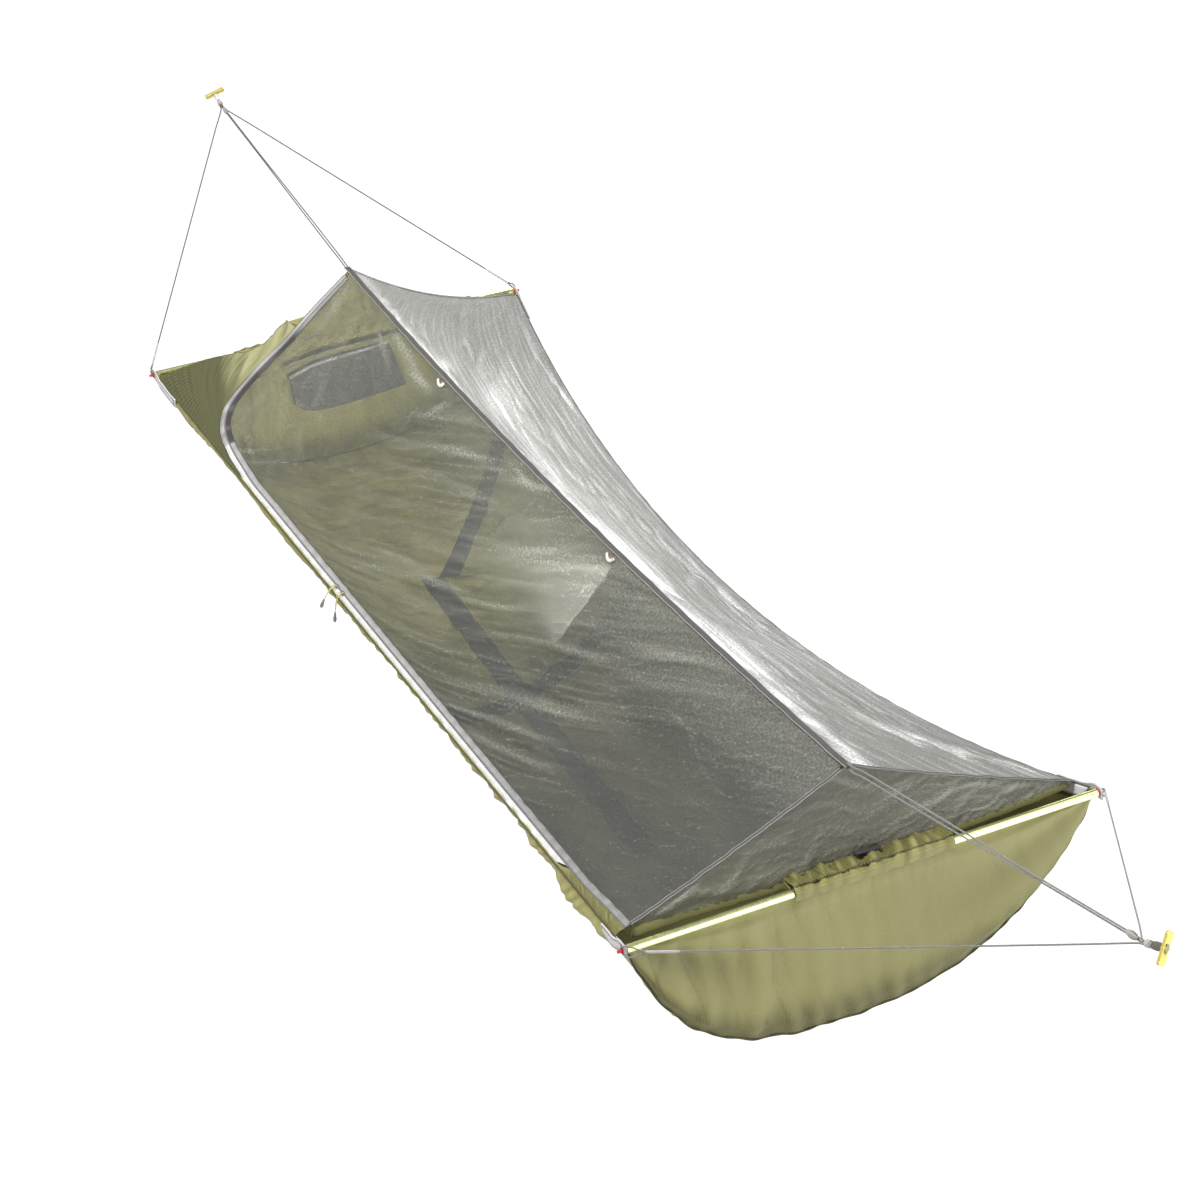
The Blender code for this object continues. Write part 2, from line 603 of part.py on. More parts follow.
def make_head_gusset(line):
    """Solid cloth between the zip and the near top edge; its free edge sags from the corner to the zip."""
    near_corner = Vector((HEAD_CORNER.x, -HEAD_CORNER.y, HEAD_CORNER.z))
    border = zip_side(line, -(TAPE_SPLIT / 2 + TAPE_WIDTH + 0.0040))
    end = next(i for i, p in enumerate(border) if p.x > -0.86 and p.z < 0.0)
    low = [edge(x, -1) + ZIP_AXIS * 0.0016 for x in steps(-1.180, border[end].x, 10)]
    left = [lerp(near_corner, RIDGE_HEAD, s) - Vector((0.0, 0.0, sag)) for s, sag in HEAD_GUSSET_EDGE]
    left = smooth_line([low[0].copy()] + left[1:], 3)
    meet = next(i for i, p in enumerate(border) if p.z < left[-1].z)
    right = [low[-1].copy()] + list(reversed(border[meet:end + 1]))
    right = [p for i, p in enumerate(right) if i == 0 or (p - right[i - 1]).length > 1e-6]
    top = [left[-1].copy(), right[-1].copy()]
    add_mesh("head_gusset", sheet_solid(coons(low, top, left, right, 6, 16)), "body_cloth")


def make_ridge_binding():
    """Flat tape along the ridge with an eye at each end for the ridge cord."""
    rows = []
    for t in steps(-0.004, 1.004, 24):
        middle = ridge(t)
        rows.append([middle + Vector((0.0, y, 0.0)) for y in (-RIDGE_WIDTH / 2, RIDGE_WIDTH / 2)])
    binding = add_mesh("ridge_binding", sheet_solid(rows, RIDGE_THICKNESS), "dark_binding")
    for name, t in (("ridge_eye_head_cutter", 0.0), ("ridge_eye_foot_cutter", 1.0)):
        bm = turned([(0.0, -0.006), (RIDGE_EYE_R, -0.006), (RIDGE_EYE_R, 0.006), (0.0, 0.006)], 12)
        cut(binding, add_mesh(name, placed(bm, ridge(t), Matrix.Identity(4)), None))


def make_hip_binding(name, side):
    points = [hip(1, side, s) + Vector((0.0, 0.0, 0.001)) for s in steps(0.035, 0.955, 10)]
    cord(name, points, HIP_BINDING_R, "grey_webbing")


# ---- zip ---------------------------------------------------------------------------------------------
def make_zip_tapes(line):
    for name, sign in (("zip_tape_body", -1.0), ("zip_tape_door", 1.0)):
        near = zip_side(line, sign * TAPE_SPLIT / 2)
        far = zip_side(line, sign * (TAPE_SPLIT / 2 + TAPE_WIDTH))
        rows = [[a, b] for a, b in zip(near, far)]
        add_mesh(name, sheet_solid(rows, TAPE), "zip_tape")


def zip_place(x):
    """Point on the zip's middle at x, and its frame: local X along the zip, local Z outwards."""
    foot = edge(x, -1)
    radial = (foot - ZIP_CENTRE).normalized()
    return foot + ZIP_AXIS * ZIP_OFFSET, frame_towards(-radial, Vector((1.0, 0.0, 0.0)))


def make_slider(name, x):
    """Zip slider: an outer and an inner plate joined by a post between the two tapes."""
    length, width = SLIDER_SIZE
    clear = TAPE / 2 + GAP
    post_x, post_y = SLIDER_POST
    bm = bmesh.new()
    layers = [(True, -clear - SLIDER_INNER_PLATE, length, width), (False, -clear, length, width),
              (False, -clear, post_x, post_y), (False, clear, post_x, post_y),
              (False, clear, length, width), (True, clear + SLIDER_OUTER_PLATE, length, width)]
    rings = []
    for bevelled, z, size_x, size_y in layers:
        inset = SLIDER_BEVEL if bevelled else 0.0
        half_x, half_y = size_x / 2 - inset, size_y / 2 - inset
        rings.append([bm.verts.new((px * half_x, py * half_y, z))
                      for px, py in ((-1, -1), (1, -1), (1, 1), (-1, 1))])
    bm.faces.new(rings[0])
    bm.faces.new(rings[-1])
    for lower, upper in zip(rings, rings[1:]):
        for k in range(4):
            n = (k + 1) % 4
            bm.faces.new((lower[k], lower[n], upper[n], upper[k]))
    position, rotation = zip_place(x)
    add_mesh(name, placed(bm, position, rotation), "steel", pivot=position, smooth=False)


def make_pull(name, slider_x, lift, route, tip):
    """Cord pull: it starts at a slider's plate and ends in a thicker moulded tip."""
    position, rotation = zip_place(slider_x)
    start = position + rotation.to_3x3() @ Vector((0.0, 0.0, lift))
    points = smooth_line([start + Vector(p) for p in route], 3)
    radii = []
    for i in range(len(points)):
        radii.append(1.0 if i < len(points) - tip else PULL_TIP)
    cord(name, points, PULL_CORD_R, "lime_cord", pivot=start, radii=radii)


def make_pulls():
    above = TAPE / 2 + GAP + SLIDER_OUTER_PLATE + GAP + PULL_CORD_R
    below = -(TAPE / 2 + GAP + SLIDER_INNER_PLATE + GAP + PULL_CORD_R)
    make_pull("pull_head_outer", SLIDER_HEAD_X, above, PULL_HEAD_OUTER, 4)
    make_pull("pull_foot_outer", SLIDER_FOOT_X, above, PULL_FOOT_OUTER, 4)
    make_pull("pull_head_inner", SLIDER_HEAD_X, below, PULL_HEAD_INNER, 3)
    make_pull("pull_foot_inner", SLIDER_FOOT_X, below, PULL_FOOT_INNER, 3)


# ---- spreader poles ----------------------------------------------------------------------------------
ALONG_Y = frame_towards(Vector((0.0, 1.0, 0.0)), Vector((1.0, 0.0, 0.0)))
ALONG_MINUS_Y = frame_towards(Vector((0.0, -1.0, 0.0)), Vector((1.0, 0.0, 0.0)))


def tube_profile(outer, inner, low, high):
    return [(inner, low), (outer, low), (outer, high), (inner, high)]


def make_pole(end, label, sleeve_y):
    x = end * POLE_X
    axis = Vector((x, 0.0, 0.0))
    joint = GAP / 2
    for part, rotation in (("near", ALONG_MINUS_Y), ("far", ALONG_Y)):
        bm = turned(tube_profile(POLE_R, POLE_BORE_R, joint, POLE_END_Y))
        add_mesh(label + "_pole_" + part, placed(bm, axis, rotation), "lime_anodised")
        tip = [(0.0, TIP_SHOULDER_Y - TIP_PLUG_LENGTH), (FERRULE_R, TIP_SHOULDER_Y - TIP_PLUG_LENGTH),
               (FERRULE_R, TIP_SHOULDER_Y), (POLE_R, TIP_SHOULDER_Y), (POLE_R, TIP_SHOULDER_END_Y),
               (TIP_PIN_R, TIP_SHOULDER_END_Y), (TIP_PIN_R, TIP_PIN_END_Y - 0.001),
               (TIP_PIN_R - 0.001, TIP_PIN_END_Y), (0.0, TIP_PIN_END_Y)]
        add_mesh(label + "_tip_" + part, placed(turned(tip, 14), axis, rotation), "red_plastic")
    half = FERRULE_LENGTH / 2
    bm = turned(tube_profile(FERRULE_R, FERRULE_BORE_R, -half, half), 14)
    add_mesh(label + "_ferrule", placed(bm, axis, ALONG_Y), "steel")
    reach = TIP_SHOULDER_Y - TIP_PLUG_LENGTH - GAP
    bm = turned([(0.0, -reach), (SHOCK_CORD_R, -reach), (SHOCK_CORD_R, reach), (0.0, reach)], 8)
    add_mesh(label + "_shock_cord", placed(bm, axis, ALONG_Y), "black_webbing")
    bm = turned(tube_profile(SLEEVE_R, SLEEVE_R - CLOTH, sleeve_y[0], sleeve_y[1]))
    add_mesh(label + "_pole_sleeve", placed(bm, axis, ALONG_Y), "body_cloth")


def make_sleeve_tab():
    """Short webbing tab that stands on the foot pole's sleeve."""
    low, high = (TAB_Y[0], SLEEVE_R + GAP), (TAB_Y[1], SLEEVE_R + TAB_HEIGHT)
    taper = 0.003
    outline = [(low[0], low[1]), (high[0], low[1]), (high[0] - taper, high[1]), (low[0] + taper, high[1])]
    bm = extruded(outline, TAB_THICKNESS)
    turn = Matrix(((0, 0, 1, 0), (1, 0, 0, 0), (0, 1, 0, 0), (0, 0, 0, 1)))
    add_mesh("foot_sleeve_tab", placed(bm, Vector((POLE_X, 0.0, 0.0)), turn), "black_webbing", smooth=False)


# ---- corners -----------------------------------------------------------------------------------------
def make_corner_strap(name, end, side):
    """Webbing along the outside of a top edge, with an eye that the pole's tip goes through."""
    rows = []
    outer_x = POLE_X + STRAP_OVERHANG
    for distance in steps(0.0, STRAP_LENGTH, 10):
        x = outer_x - distance
        on_edge = edge(min(x, BODY_END_X) * end, side)
        y = side * min(STRAP_Y, abs(on_edge.y) + STRAP_Y - EDGE_HALF_WIDTH)
        rows.append([Vector((x * end, y, on_edge.z + STRAP_WIDTH * h)) for h in (-0.5, 0.5)])
    strap = add_mesh(name, sheet_solid(rows, STRAP_THICKNESS), "grey_webbing")
    bm = turned([(0.0, -0.01), (STRAP_EYE_R, -0.01), (STRAP_EYE_R, 0.01), (0.0, 0.01)], 12)
    centre = Vector((end * POLE_X, side * STRAP_Y, 0.0))
    cut(strap, add_mesh(name + "_cutter", placed(bm, centre, ALONG_Y), None))


def knot_face(end):
    knot = HEAD_KNOT if end < 0 else FOOT_KNOT
    return knot - pull_direction(end) * (KNOT_LENGTH / 2 + GAP)


def make_corner_cord(name, end, side):
    """Suspension cord: an eye round the pole's tip, a splice, then a straight run to the knot."""
    eye_y = side * (STRAP_Y + STRAP_THICKNESS / 2 + GAP + CORD_R)
    centre = Vector((end * POLE_X, eye_y, 0.0))
    arrival = knot_face(end) + Vector((0.0, side * CORD_AT_KNOT[0], -CORD_AT_KNOT[1]))
    pull = pull_direction(end)
    run = arrival - centre
    along = Vector((run.x, 0.0, run.z)).normalized()
    lateral = Vector((-along.z, 0.0, along.x))
    bend = TIP_PIN_R + GAP + CORD_R
    local = [(-across, ahead) for across, ahead in reversed(CORD_EYE_SIDE)]
    for k in range(7):
        angle = math.pi * k / 6
        local.append((-bend * math.cos(angle), -bend * math.sin(angle)))
    local += CORD_EYE_SIDE + CORD_EYE_END
    points = [centre + lateral * l + along * a for l, a in local]
    straight_from = points[-1]
    straight_to = arrival - pull * 0.010
    for t in (0.03, 0.08, 0.085, 0.3, 0.6, 0.9):
        points.append(lerp(straight_from, straight_to, t))
    points += [straight_to, arrival - pull * 0.005, arrival]
    first = len(local) + 1
    radii = [SPLICE_R / CORD_R if first <= i < first + 2 else 1.0 for i in range(len(points))]
    cord(name, points, CORD_R, "grey_cord", radii=radii)


def ridge_cord_axis(end):
    """Start at the knot's face, end at the ridge's eye, and the unit vectors along and up."""
    start = knot_face(end) - pull_direction(end) * 0.0010
    eye = ridge(0.0 if end < 0 else 1.0)
    along = (eye - start).normalized()
    up = Vector((0.0, 1.0, 0.0)).cross(along).normalized()
    return start, eye, along, up if up.z > 0 else -up


def make_ridge_cord(name, end):
    """Thin cord doubled through the ridge's eye, both legs ending at the knot."""
    start, eye, along, up = ridge_cord_axis(end)
    length = (eye - start).length
    upper = [start + along * (share * length) + up * rise for share, rise in RIDGE_CORD_LEGS]
    lower = [start + along * (share * length) - up * rise for share, rise in RIDGE_CORD_LEGS]
    turn_r = RIDGE_THICKNESS / 2 + 2.5 * GAP + RIDGE_CORD_R
    outwards = (ridge(1.0) - ridge(0.99) if end > 0 else ridge(0.0) - ridge(0.01)).normalized()
    above = Vector((-outwards.z * end, 0.0, outwards.x * end))
    turn = [(0.016, 1.25), (0.0042, 1.08), (0.0018, 0.92), (0.0004, 0.62), (0.0, 0.3), (0.0, 0.0)]
    bend = [eye + outwards * reach + above * (share * turn_r) for reach, share in turn]
    bend += [eye + outwards * reach - above * (share * turn_r) for reach, share in reversed(turn[:-1])]
    points = upper + bend + list(reversed(lower))
    cord(name, points, RIDGE_CORD_R, "grey_cord")


def make_adjuster(name, end):
    """Lens-shaped tensioner with a bore for each leg of the doubled ridge cord."""
    start, _, along, up = ridge_cord_axis(end)
    length, width, depth = ADJUSTER_SIZE
    middle = start + along * (ADJUSTER_START + length / 2)
    half = length / 2
    outline = []
    for k in range(12):
        t = -1 + 2 * k / 11
        outline.append((t * half, depth / 2 * (0.45 + 0.55 * math.cos(t * math.pi / 2))))
    outline += [(x, -y) for x, y in reversed(outline)]
    axes = Matrix((along, up, along.cross(up))).transposed().to_4x4()
    bm = placed(extruded(outline, width), middle, axes)
    body = add_mesh(name, bm, "grey_webbing", pivot=middle, smooth=False)
    turn = frame_towards(along, up)
    for leg, sign in (("upper", 1.0), ("lower", -1.0)):
        bore_r = RIDGE_CORD_R + GAP
        bm = turned([(0.0, -length), (bore_r, -length), (bore_r, length), (0.0, length)], 10)
        bore = placed(bm, middle + up * RIDGE_CORD_LEGS[0][1] * sign, turn)
        cut(body, add_mesh(name + "_" + leg + "_cutter", bore, None))


def make_knot(name, end):
    knot = HEAD_KNOT if end < 0 else FOOT_KNOT
    half = KNOT_LENGTH / 2
    profile = [(0.0, -half), (KNOT_R, -half), (KNOT_R + 0.001, 0.0), (KNOT_R, half), (0.0, half)]
    turn = frame_towards(pull_direction(end), Vector((0.0, 1.0, 0.0)))
    add_mesh(name, placed(turned(profile, 14), knot, turn), "grey_cord")


def toggle_frame(end):
    """Toggle's middle and its axes: X along the bar, Z along the pull."""
    knot, roll = (HEAD_KNOT, HEAD_TOGGLE_ROLL) if end < 0 else (FOOT_KNOT, FOOT_TOGGLE_ROLL)
    pull = pull_direction(end)
    level = Vector((0.0, 1.0, 0.0))
    up = Vector((-pull.z * end, 0.0, pull.x * end))
    bar = level * math.cos(roll) + up * math.sin(roll)
    return knot + pull * KNOT_TO_TOGGLE, frame_towards(pull, bar)


def make_toggle(label, end):
    """Flat toggle bar with two holes, through which the soft loop is threaded."""
    length, width, depth = TOGGLE_SIZE
    middle, turn = toggle_frame(end)
    knot = HEAD_KNOT if end < 0 else FOOT_KNOT
    corner = TOGGLE_CORNER_R
    outline = []
    for sx, sy, first in ((1, 1, 0), (-1, 1, 1), (-1, -1, 2), (1, -1, 3)):
        for k in range(4):
            angle = math.pi / 2 * (first + k / 3)
            outline.append((sx * (length / 2 - corner) + corner * math.cos(angle),
                            sy * (width / 2 - corner) + corner * math.sin(angle)))
    bar = add_mesh(label + "_toggle", placed(extruded(outline, depth), middle, turn), "gold_anodised",
                   pivot=knot, smooth=False)
    axes = turn.to_3x3()
    for hole, sign in (("a", 1.0), ("b", -1.0)):
        bm = turned([(0.0, -0.01), (TOGGLE_HOLE_R, -0.01), (TOGGLE_HOLE_R, 0.01), (0.0, 0.01)], 12)
        position = middle + axes @ Vector((sign * TOGGLE_HOLE_HALF_PITCH, 0.0, 0.0))
        cut(bar, add_mesh(label + "_toggle_hole_" + hole, placed(bm, position, turn), None))
    pitch = TOGGLE_HOLE_HALF_PITCH
    face = KNOT_LENGTH / 2 + GAP - KNOT_TO_TOGGLE
    half = depth / 2
    route = [(LOOP_AT_KNOT, face), (LOOP_AT_KNOT, face + 0.003), (0.0040, face + 0.012),
             (pitch, -half - 0.006), (pitch, -half), (pitch, half)]
    arch = []
    for k in range(1, 6):
        angle = math.pi * k / 6
        arch.append((pitch * math.cos(angle), half + 0.0026 * math.sin(angle) ** 0.7 + 0.0004))
    mirrored = [(-a, h) for a, h in reversed(route)]
    points = [middle + axes @ Vector((a, 0.0, h)) for a, h in route + arch + mirrored]
    cord(label + "_toggle_loop", points, LOOP_CORD_R, "grey_webbing", pivot=knot)


def make_ridge_hook(name, t):
    """Small J-shaped hook that hangs inside from the ridge and holds the rolled door."""
    top = ridge(t) - Vector((0.0, 0.0, RIDGE_THICKNESS / 2 + GAP + 0.0010))
    points = smooth_line([top + Vector(p) for p in HOOK_ROUTE], 3)
    cord(name, points, HOOK_R, "pale_plastic", pivot=top)


def main():
    clear_scene()
    make_body()
    make_end_wall("head_end_wall", -1)
    make_end_wall("foot_end_wall", 1)
    make_edge_webbing("near_edge_webbing", -1)
    make_edge_webbing("far_edge_webbing", 1)
    make_band("spine_band", *SPINE_BAND, 12, -BAND_INSET)
    make_band("head_band", *HEAD_BAND, 8, -BAND_INSET)
    make_band("cross_band", *CROSS_BAND, 10, -CROSS_BAND_INSET)
    make_head_pocket()

    line = zip_line()
    make_net_door(line)
    make_net_far()
    make_end_panel("net_foot", 1, "net_mesh", *NET_FOOT_LOW, NET_FOOT_DROP)
    make_end_panel("head_upper_panel", -1, "body_cloth", *HEAD_PANEL_LOW, near_rim=head_panel_rim(line))
    make_head_gusset(line)
    make_ridge_binding()
    make_hip_binding("foot_hip_binding_near", -1)
    make_hip_binding("foot_hip_binding_far", 1)
    make_zip_tapes(line)
    make_slider("zip_slider_head", SLIDER_HEAD_X)
    make_slider("zip_slider_foot", SLIDER_FOOT_X)
    make_pulls()
    make_ridge_hook("ridge_hook_head", HEAD_HOOK_SHARE)
    make_ridge_hook("ridge_hook_foot", FOOT_HOOK_SHARE)

    make_pole(-1, "head", HEAD_SLEEVE_Y)
    make_pole(1, "foot", FOOT_SLEEVE_Y)
    make_sleeve_tab()
    for label, end in (("head", -1), ("foot", 1)):
        for part, side in (("near", -1), ("far", 1)):
            make_corner_strap(label + "_strap_" + part, end, side)
            make_corner_cord(label + "_cord_" + part, end, side)
        make_ridge_cord(label + "_ridge_cord", end)
        make_adjuster(label + "_adjuster", end)
        make_knot(label + "_knot", end)
        make_toggle(label, end)


main()
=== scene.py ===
"""Looks of the bridge hammock: cloth, net, zip, webbing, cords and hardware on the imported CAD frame.

Shapes are worked out in the body's own frame, whose origin is midway between the spreader poles
on the height of their axes.  place() adds ORIGIN, which puts a point into the row frame.
"""

import math

import bpy
import numpy as np
from mathutils import Matrix, Vector


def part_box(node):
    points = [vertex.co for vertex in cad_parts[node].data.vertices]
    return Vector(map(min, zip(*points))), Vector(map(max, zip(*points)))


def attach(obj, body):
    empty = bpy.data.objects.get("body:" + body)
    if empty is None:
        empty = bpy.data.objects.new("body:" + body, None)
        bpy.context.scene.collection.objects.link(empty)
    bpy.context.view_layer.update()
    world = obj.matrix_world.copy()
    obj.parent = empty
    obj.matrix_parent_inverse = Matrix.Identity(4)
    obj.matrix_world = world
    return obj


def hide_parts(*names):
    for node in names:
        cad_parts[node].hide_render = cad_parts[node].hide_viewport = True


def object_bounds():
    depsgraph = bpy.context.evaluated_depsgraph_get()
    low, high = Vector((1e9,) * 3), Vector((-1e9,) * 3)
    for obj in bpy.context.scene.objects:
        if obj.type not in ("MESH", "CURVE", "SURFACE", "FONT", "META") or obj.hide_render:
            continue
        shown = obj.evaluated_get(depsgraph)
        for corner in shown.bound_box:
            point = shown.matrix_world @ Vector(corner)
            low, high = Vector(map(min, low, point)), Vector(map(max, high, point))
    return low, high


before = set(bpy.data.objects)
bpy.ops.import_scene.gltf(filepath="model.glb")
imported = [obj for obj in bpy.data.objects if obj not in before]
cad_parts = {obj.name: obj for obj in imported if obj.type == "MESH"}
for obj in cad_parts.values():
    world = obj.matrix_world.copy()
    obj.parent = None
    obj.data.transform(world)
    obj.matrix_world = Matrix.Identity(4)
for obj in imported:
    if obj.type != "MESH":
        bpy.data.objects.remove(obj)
cad_bounds = [list(corner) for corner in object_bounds()]


def box_middle(node):
    low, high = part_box(node)
    return np.array((low + high) / 2)


# ---- driving dimensions, in the body's frame
HEAD_POLE = box_middle("head_pole_near")
FOOT_POLE = box_middle("foot_pole_near")
ORIGIN = np.array([(HEAD_POLE[0] + FOOT_POLE[0]) / 2, 0.0, HEAD_POLE[2]])
POLE_X = (FOOT_POLE[0] - HEAD_POLE[0]) / 2
POLE_R = 0.0075
END_X = (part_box("body_fabric")[1].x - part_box("body_fabric")[0].x) / 2
EDGE_HALF_WIDTH = 0.445
EDGE_BOW = 0.087
EDGE_SAG = 0.163
END_DEPTH = 0.305
MID_DEPTH = 0.190
NEAR_BELLY = 0.028
FAR_BELLY = 0.006
RIDGE_HEAD = np.array([-1.097, 0.0, 0.199])
RIDGE_FOOT = np.array([1.129, 0.0, 0.159])
RIDGE_SAG = 0.038
HEAD_CORNER = np.array([-1.184, 0.440, 0.002])
FOOT_CORNER = np.array([1.160, 0.421, 0.006])
HEAD_HIP_SAG = 0.035
FOOT_HIP_SAG = 0.005
NET_SAG = 0.024
TAPE_WIDTH = 0.0115
TAPE_SPLIT = 0.0018
ZIP_OFFSET = 0.0140
ZIP_ARC_X = (-0.76, 0.96)
ZIP_TURN = [(0.0085, 0.970), (0.0175, 0.790), (0.033, 0.594), (0.048, 0.397), (0.067, 0.226),
            (0.084, 0.140), (0.103, 0.090), (0.128, 0.060), (0.155, 0.044)]
HEAD_SLEEVE_Y = (-0.255, 0.330)
FOOT_SLEEVE_Y = (-0.143, 0.157)
FOOT_SLEEVE_PROFILE = [
    (0.0062, -0.0120, 0.0), (0.0098, -0.0020, 0.0), (0.0088, 0.0070, 0.15), (0.0010, 0.0125, 0.5),
    (-0.0120, 0.0135, 1.0), (-0.0240, 0.0110, 1.0), (-0.0315, 0.0050, 0.5), (-0.0240, 0.0010, 0.1),
    (-0.0130, -0.0020, 0.0), (-0.0095, -0.0090, 0.0)]
HEAD_SLEEVE_PROFILE = [
    (0.0062, -0.0120, 0.0), (0.0098, -0.0020, 0.0), (0.0088, 0.0060, 0.1), (0.0010, 0.0120, 0.4),
    (-0.0080, 0.0150, 1.0), (-0.0150, 0.0120, 0.8), (-0.0125, 0.0020, 0.1), (-0.0098, -0.0080, 0.0)]
CLOTH = 0.0008
RIDGE_CORD_R = 0.0015
RIDGE_CORD_LEGS = [(0.0, 0.0024), (0.06, 0.0024), (0.24, 0.0024), (0.35, 0.0026), (0.50, 0.0040),
                   (0.70, 0.0052), (0.85, 0.0056), (0.94, 0.0054)]
HEAD_GUSSET_EDGE = [(0.0, 0.0), (0.127, 0.0105), (0.278, 0.0284), (0.411, 0.0516), (0.493, 0.0630),
                    (0.57, 0.0568), (0.665, 0.0375)]
OUTER_TAPE_END_X = 0.87
STRAP_FACE_Y = 0.4483
STRAP_WIDTH = 0.0215
STRAP_PAST_POLE = 0.0125
UP = np.array([0.0, 0.0, 1.0])
TO_NEAR_SIDE = np.array([1.0, -1.0, 1.0])
HIPS = {-1: (HEAD_CORNER, RIDGE_HEAD, HEAD_HIP_SAG), 1: (FOOT_CORNER, RIDGE_FOOT, FOOT_HIP_SAG)}
SIDE_WORD = {-1: "near", 1: "far"}
COIL_STEPS = 900
ZIP_HALF = TAPE_SPLIT / 2
ZIP_RIM = TAPE_SPLIT / 2 + TAPE_WIDTH

EDGE_DROP = math.hypot(EDGE_BOW, EDGE_SAG)
EDGE_ARC_R = (END_X ** 2 + EDGE_DROP ** 2) / (2 * EDGE_DROP)
NEAR_DROP_DIR = np.array([0.0, EDGE_BOW, -EDGE_SAG]) / EDGE_DROP
ZIP_AXIS = np.array([0.0, EDGE_SAG, EDGE_BOW]) / EDGE_DROP
ZIP_CENTRE = np.array([0.0, -EDGE_HALF_WIDTH, 0.0]) - NEAR_DROP_DIR * (EDGE_ARC_R - EDGE_DROP)


# ---- small vector helpers
def vec(*parts):
    """Stacks coordinate arrays into points; the last axis holds x, y and z."""
    return np.stack(np.broadcast_arrays(*[np.asarray(p, float) for p in parts]), axis=-1)


def unit(v):
    return v / np.maximum(np.linalg.norm(v, axis=-1, keepdims=True), 1e-12)


def mix(a, b, t):
    return a + (b - a) * t


def mixv(a, b, t):
    return a + (b - a) * np.asarray(t)[..., None]


def smoothstep(low, high, x):
    t = np.clip((x - low) / (high - low), 0.0, 1.0)
    return t * t * (3.0 - 2.0 * t)


def lengths_along(line):
    return np.concatenate([[0.0], np.cumsum(np.linalg.norm(np.diff(line, axis=0), axis=1))])


def resample(line, t):
    """Points at the fractions t of a polyline's length."""
    line = np.asarray(line, float)
    along = lengths_along(line)
    at = np.clip(t, 0.0, 1.0) * along[-1]
    return np.stack([np.interp(at, along, line[:, k]) for k in range(3)], axis=-1)


def smooth_line(points, steps):
    """Centripetal Catmull-Rom curve through the points, with that many steps to a span."""
    p = [np.asarray(q, float) for q in points]
    p = [2 * p[0] - p[1]] + p + [2 * p[-1] - p[-2]]
    line = []
    for i in range(1, len(p) - 2):
        p0, p1, p2, p3 = p[i - 1:i + 3]
        k1 = max(np.linalg.norm(p1 - p0), 1e-9) ** 0.5
        k2 = k1 + max(np.linalg.norm(p2 - p1), 1e-9) ** 0.5
        k3 = k2 + max(np.linalg.norm(p3 - p2), 1e-9) ** 0.5
        for j in range(steps):
            t = mix(k1, k2, j / steps)
            a1 = p0 * ((k1 - t) / k1) + p1 * (t / k1)
            a2 = p1 * ((k2 - t) / (k2 - k1)) + p2 * ((t - k1) / (k2 - k1))
            a3 = p2 * ((k3 - t) / (k3 - k2)) + p3 * ((t - k2) / (k3 - k2))
            b1 = a1 * ((k2 - t) / k2) + a2 * (t / k2)
            b2 = a2 * ((k3 - t) / (k3 - k1)) + a3 * ((t - k1) / (k3 - k1))
            line.append(b1 * ((k2 - t) / (k2 - k1)) + b2 * ((t - k1) / (k2 - k1)))
    line.append(p[-2])
    return np.array(line)


# ---- wrinkles: seeded sums of waves
def random_phase(rng):
    return rng.uniform(0, 6.3)


def ripple(s, seed, wavelength, count=5):
    """Smooth random wave of about that wavelength along s, from about -1 to 1."""
    rng = np.random.default_rng(seed)
    total = np.zeros_like(np.asarray(s, float))
    for _ in range(count):
        total += np.sin(2 * np.pi * s / (wavelength * rng.uniform(0.6, 1.8)) + rng.uniform(0, 2 * np.pi))
    return total / count ** 0.5 / 1.2


def creases(p, q, seed, wavelength, angle, spread, count, sharp):
    """Ridges that run at an angle from the p axis and fade in and out, from 0 to about 1."""
    rng = np.random.default_rng(seed)
    total = np.zeros_like(p)
    for _ in range(count):
        theta = angle + rng.normal() * spread
        width = wavelength * rng.uniform(0.6, 1.7)
        across = -p * np.sin(theta) + q * np.cos(theta)
        along = p * np.cos(theta) + q * np.sin(theta)
        bend = 0.35 * width * np.sin(2 * np.pi * along / (width * rng.uniform(5, 11)) + random_phase(rng))
        wave = 1.0 - np.abs(np.sin(np.pi * (across + bend) / width + random_phase(rng)))
        fade = 0.5 + 0.5 * np.sin(2 * np.pi * along / (width * rng.uniform(5, 14))
                                  + 2 * np.pi * across / (width * rng.uniform(2.5, 6)) + random_phase(rng))
        total += wave ** sharp * fade ** 1.5
    return total / count ** 0.5


def long_folds(p, q, seed, wavelength, angle, stretch, spread, count=3):
    """Long soft folds along an angle, light on one flank and dark on the other, from about -1 to 1."""
    rng = np.random.default_rng(seed)
    total = np.zeros_like(p)
    for _ in range(count):
        theta = angle + rng.normal() * spread
        width = wavelength * rng.uniform(0.75, 1.5)
        across = -p * np.sin(theta) + q * np.cos(theta)
        along = p * np.cos(theta) + q * np.sin(theta)
        reach = width * stretch
        wander = 0.5 * np.sin(2 * np.pi * along / (reach * rng.uniform(0.8, 1.6)) + random_phase(rng))
        wander = wander + 0.2 * np.sin(2 * np.pi * along / (reach * rng.uniform(0.25, 0.45))
                                       + random_phase(rng))
        phase = 2 * np.pi * (across / width + wander) + random_phase(rng)
        wave = 0.7 * np.sin(phase) + 0.3 * np.sin(2 * phase + random_phase(rng))
        fade = 0.5 + 0.5 * np.sin(2 * np.pi * along / (reach * rng.uniform(0.7, 1.6))
                                  + 2 * np.pi * across / (width * rng.uniform(2.4, 4.5)) + random_phase(rng))
        total += wave * (0.15 + 0.85 * fade ** 1.5)
    return total / count ** 0.5


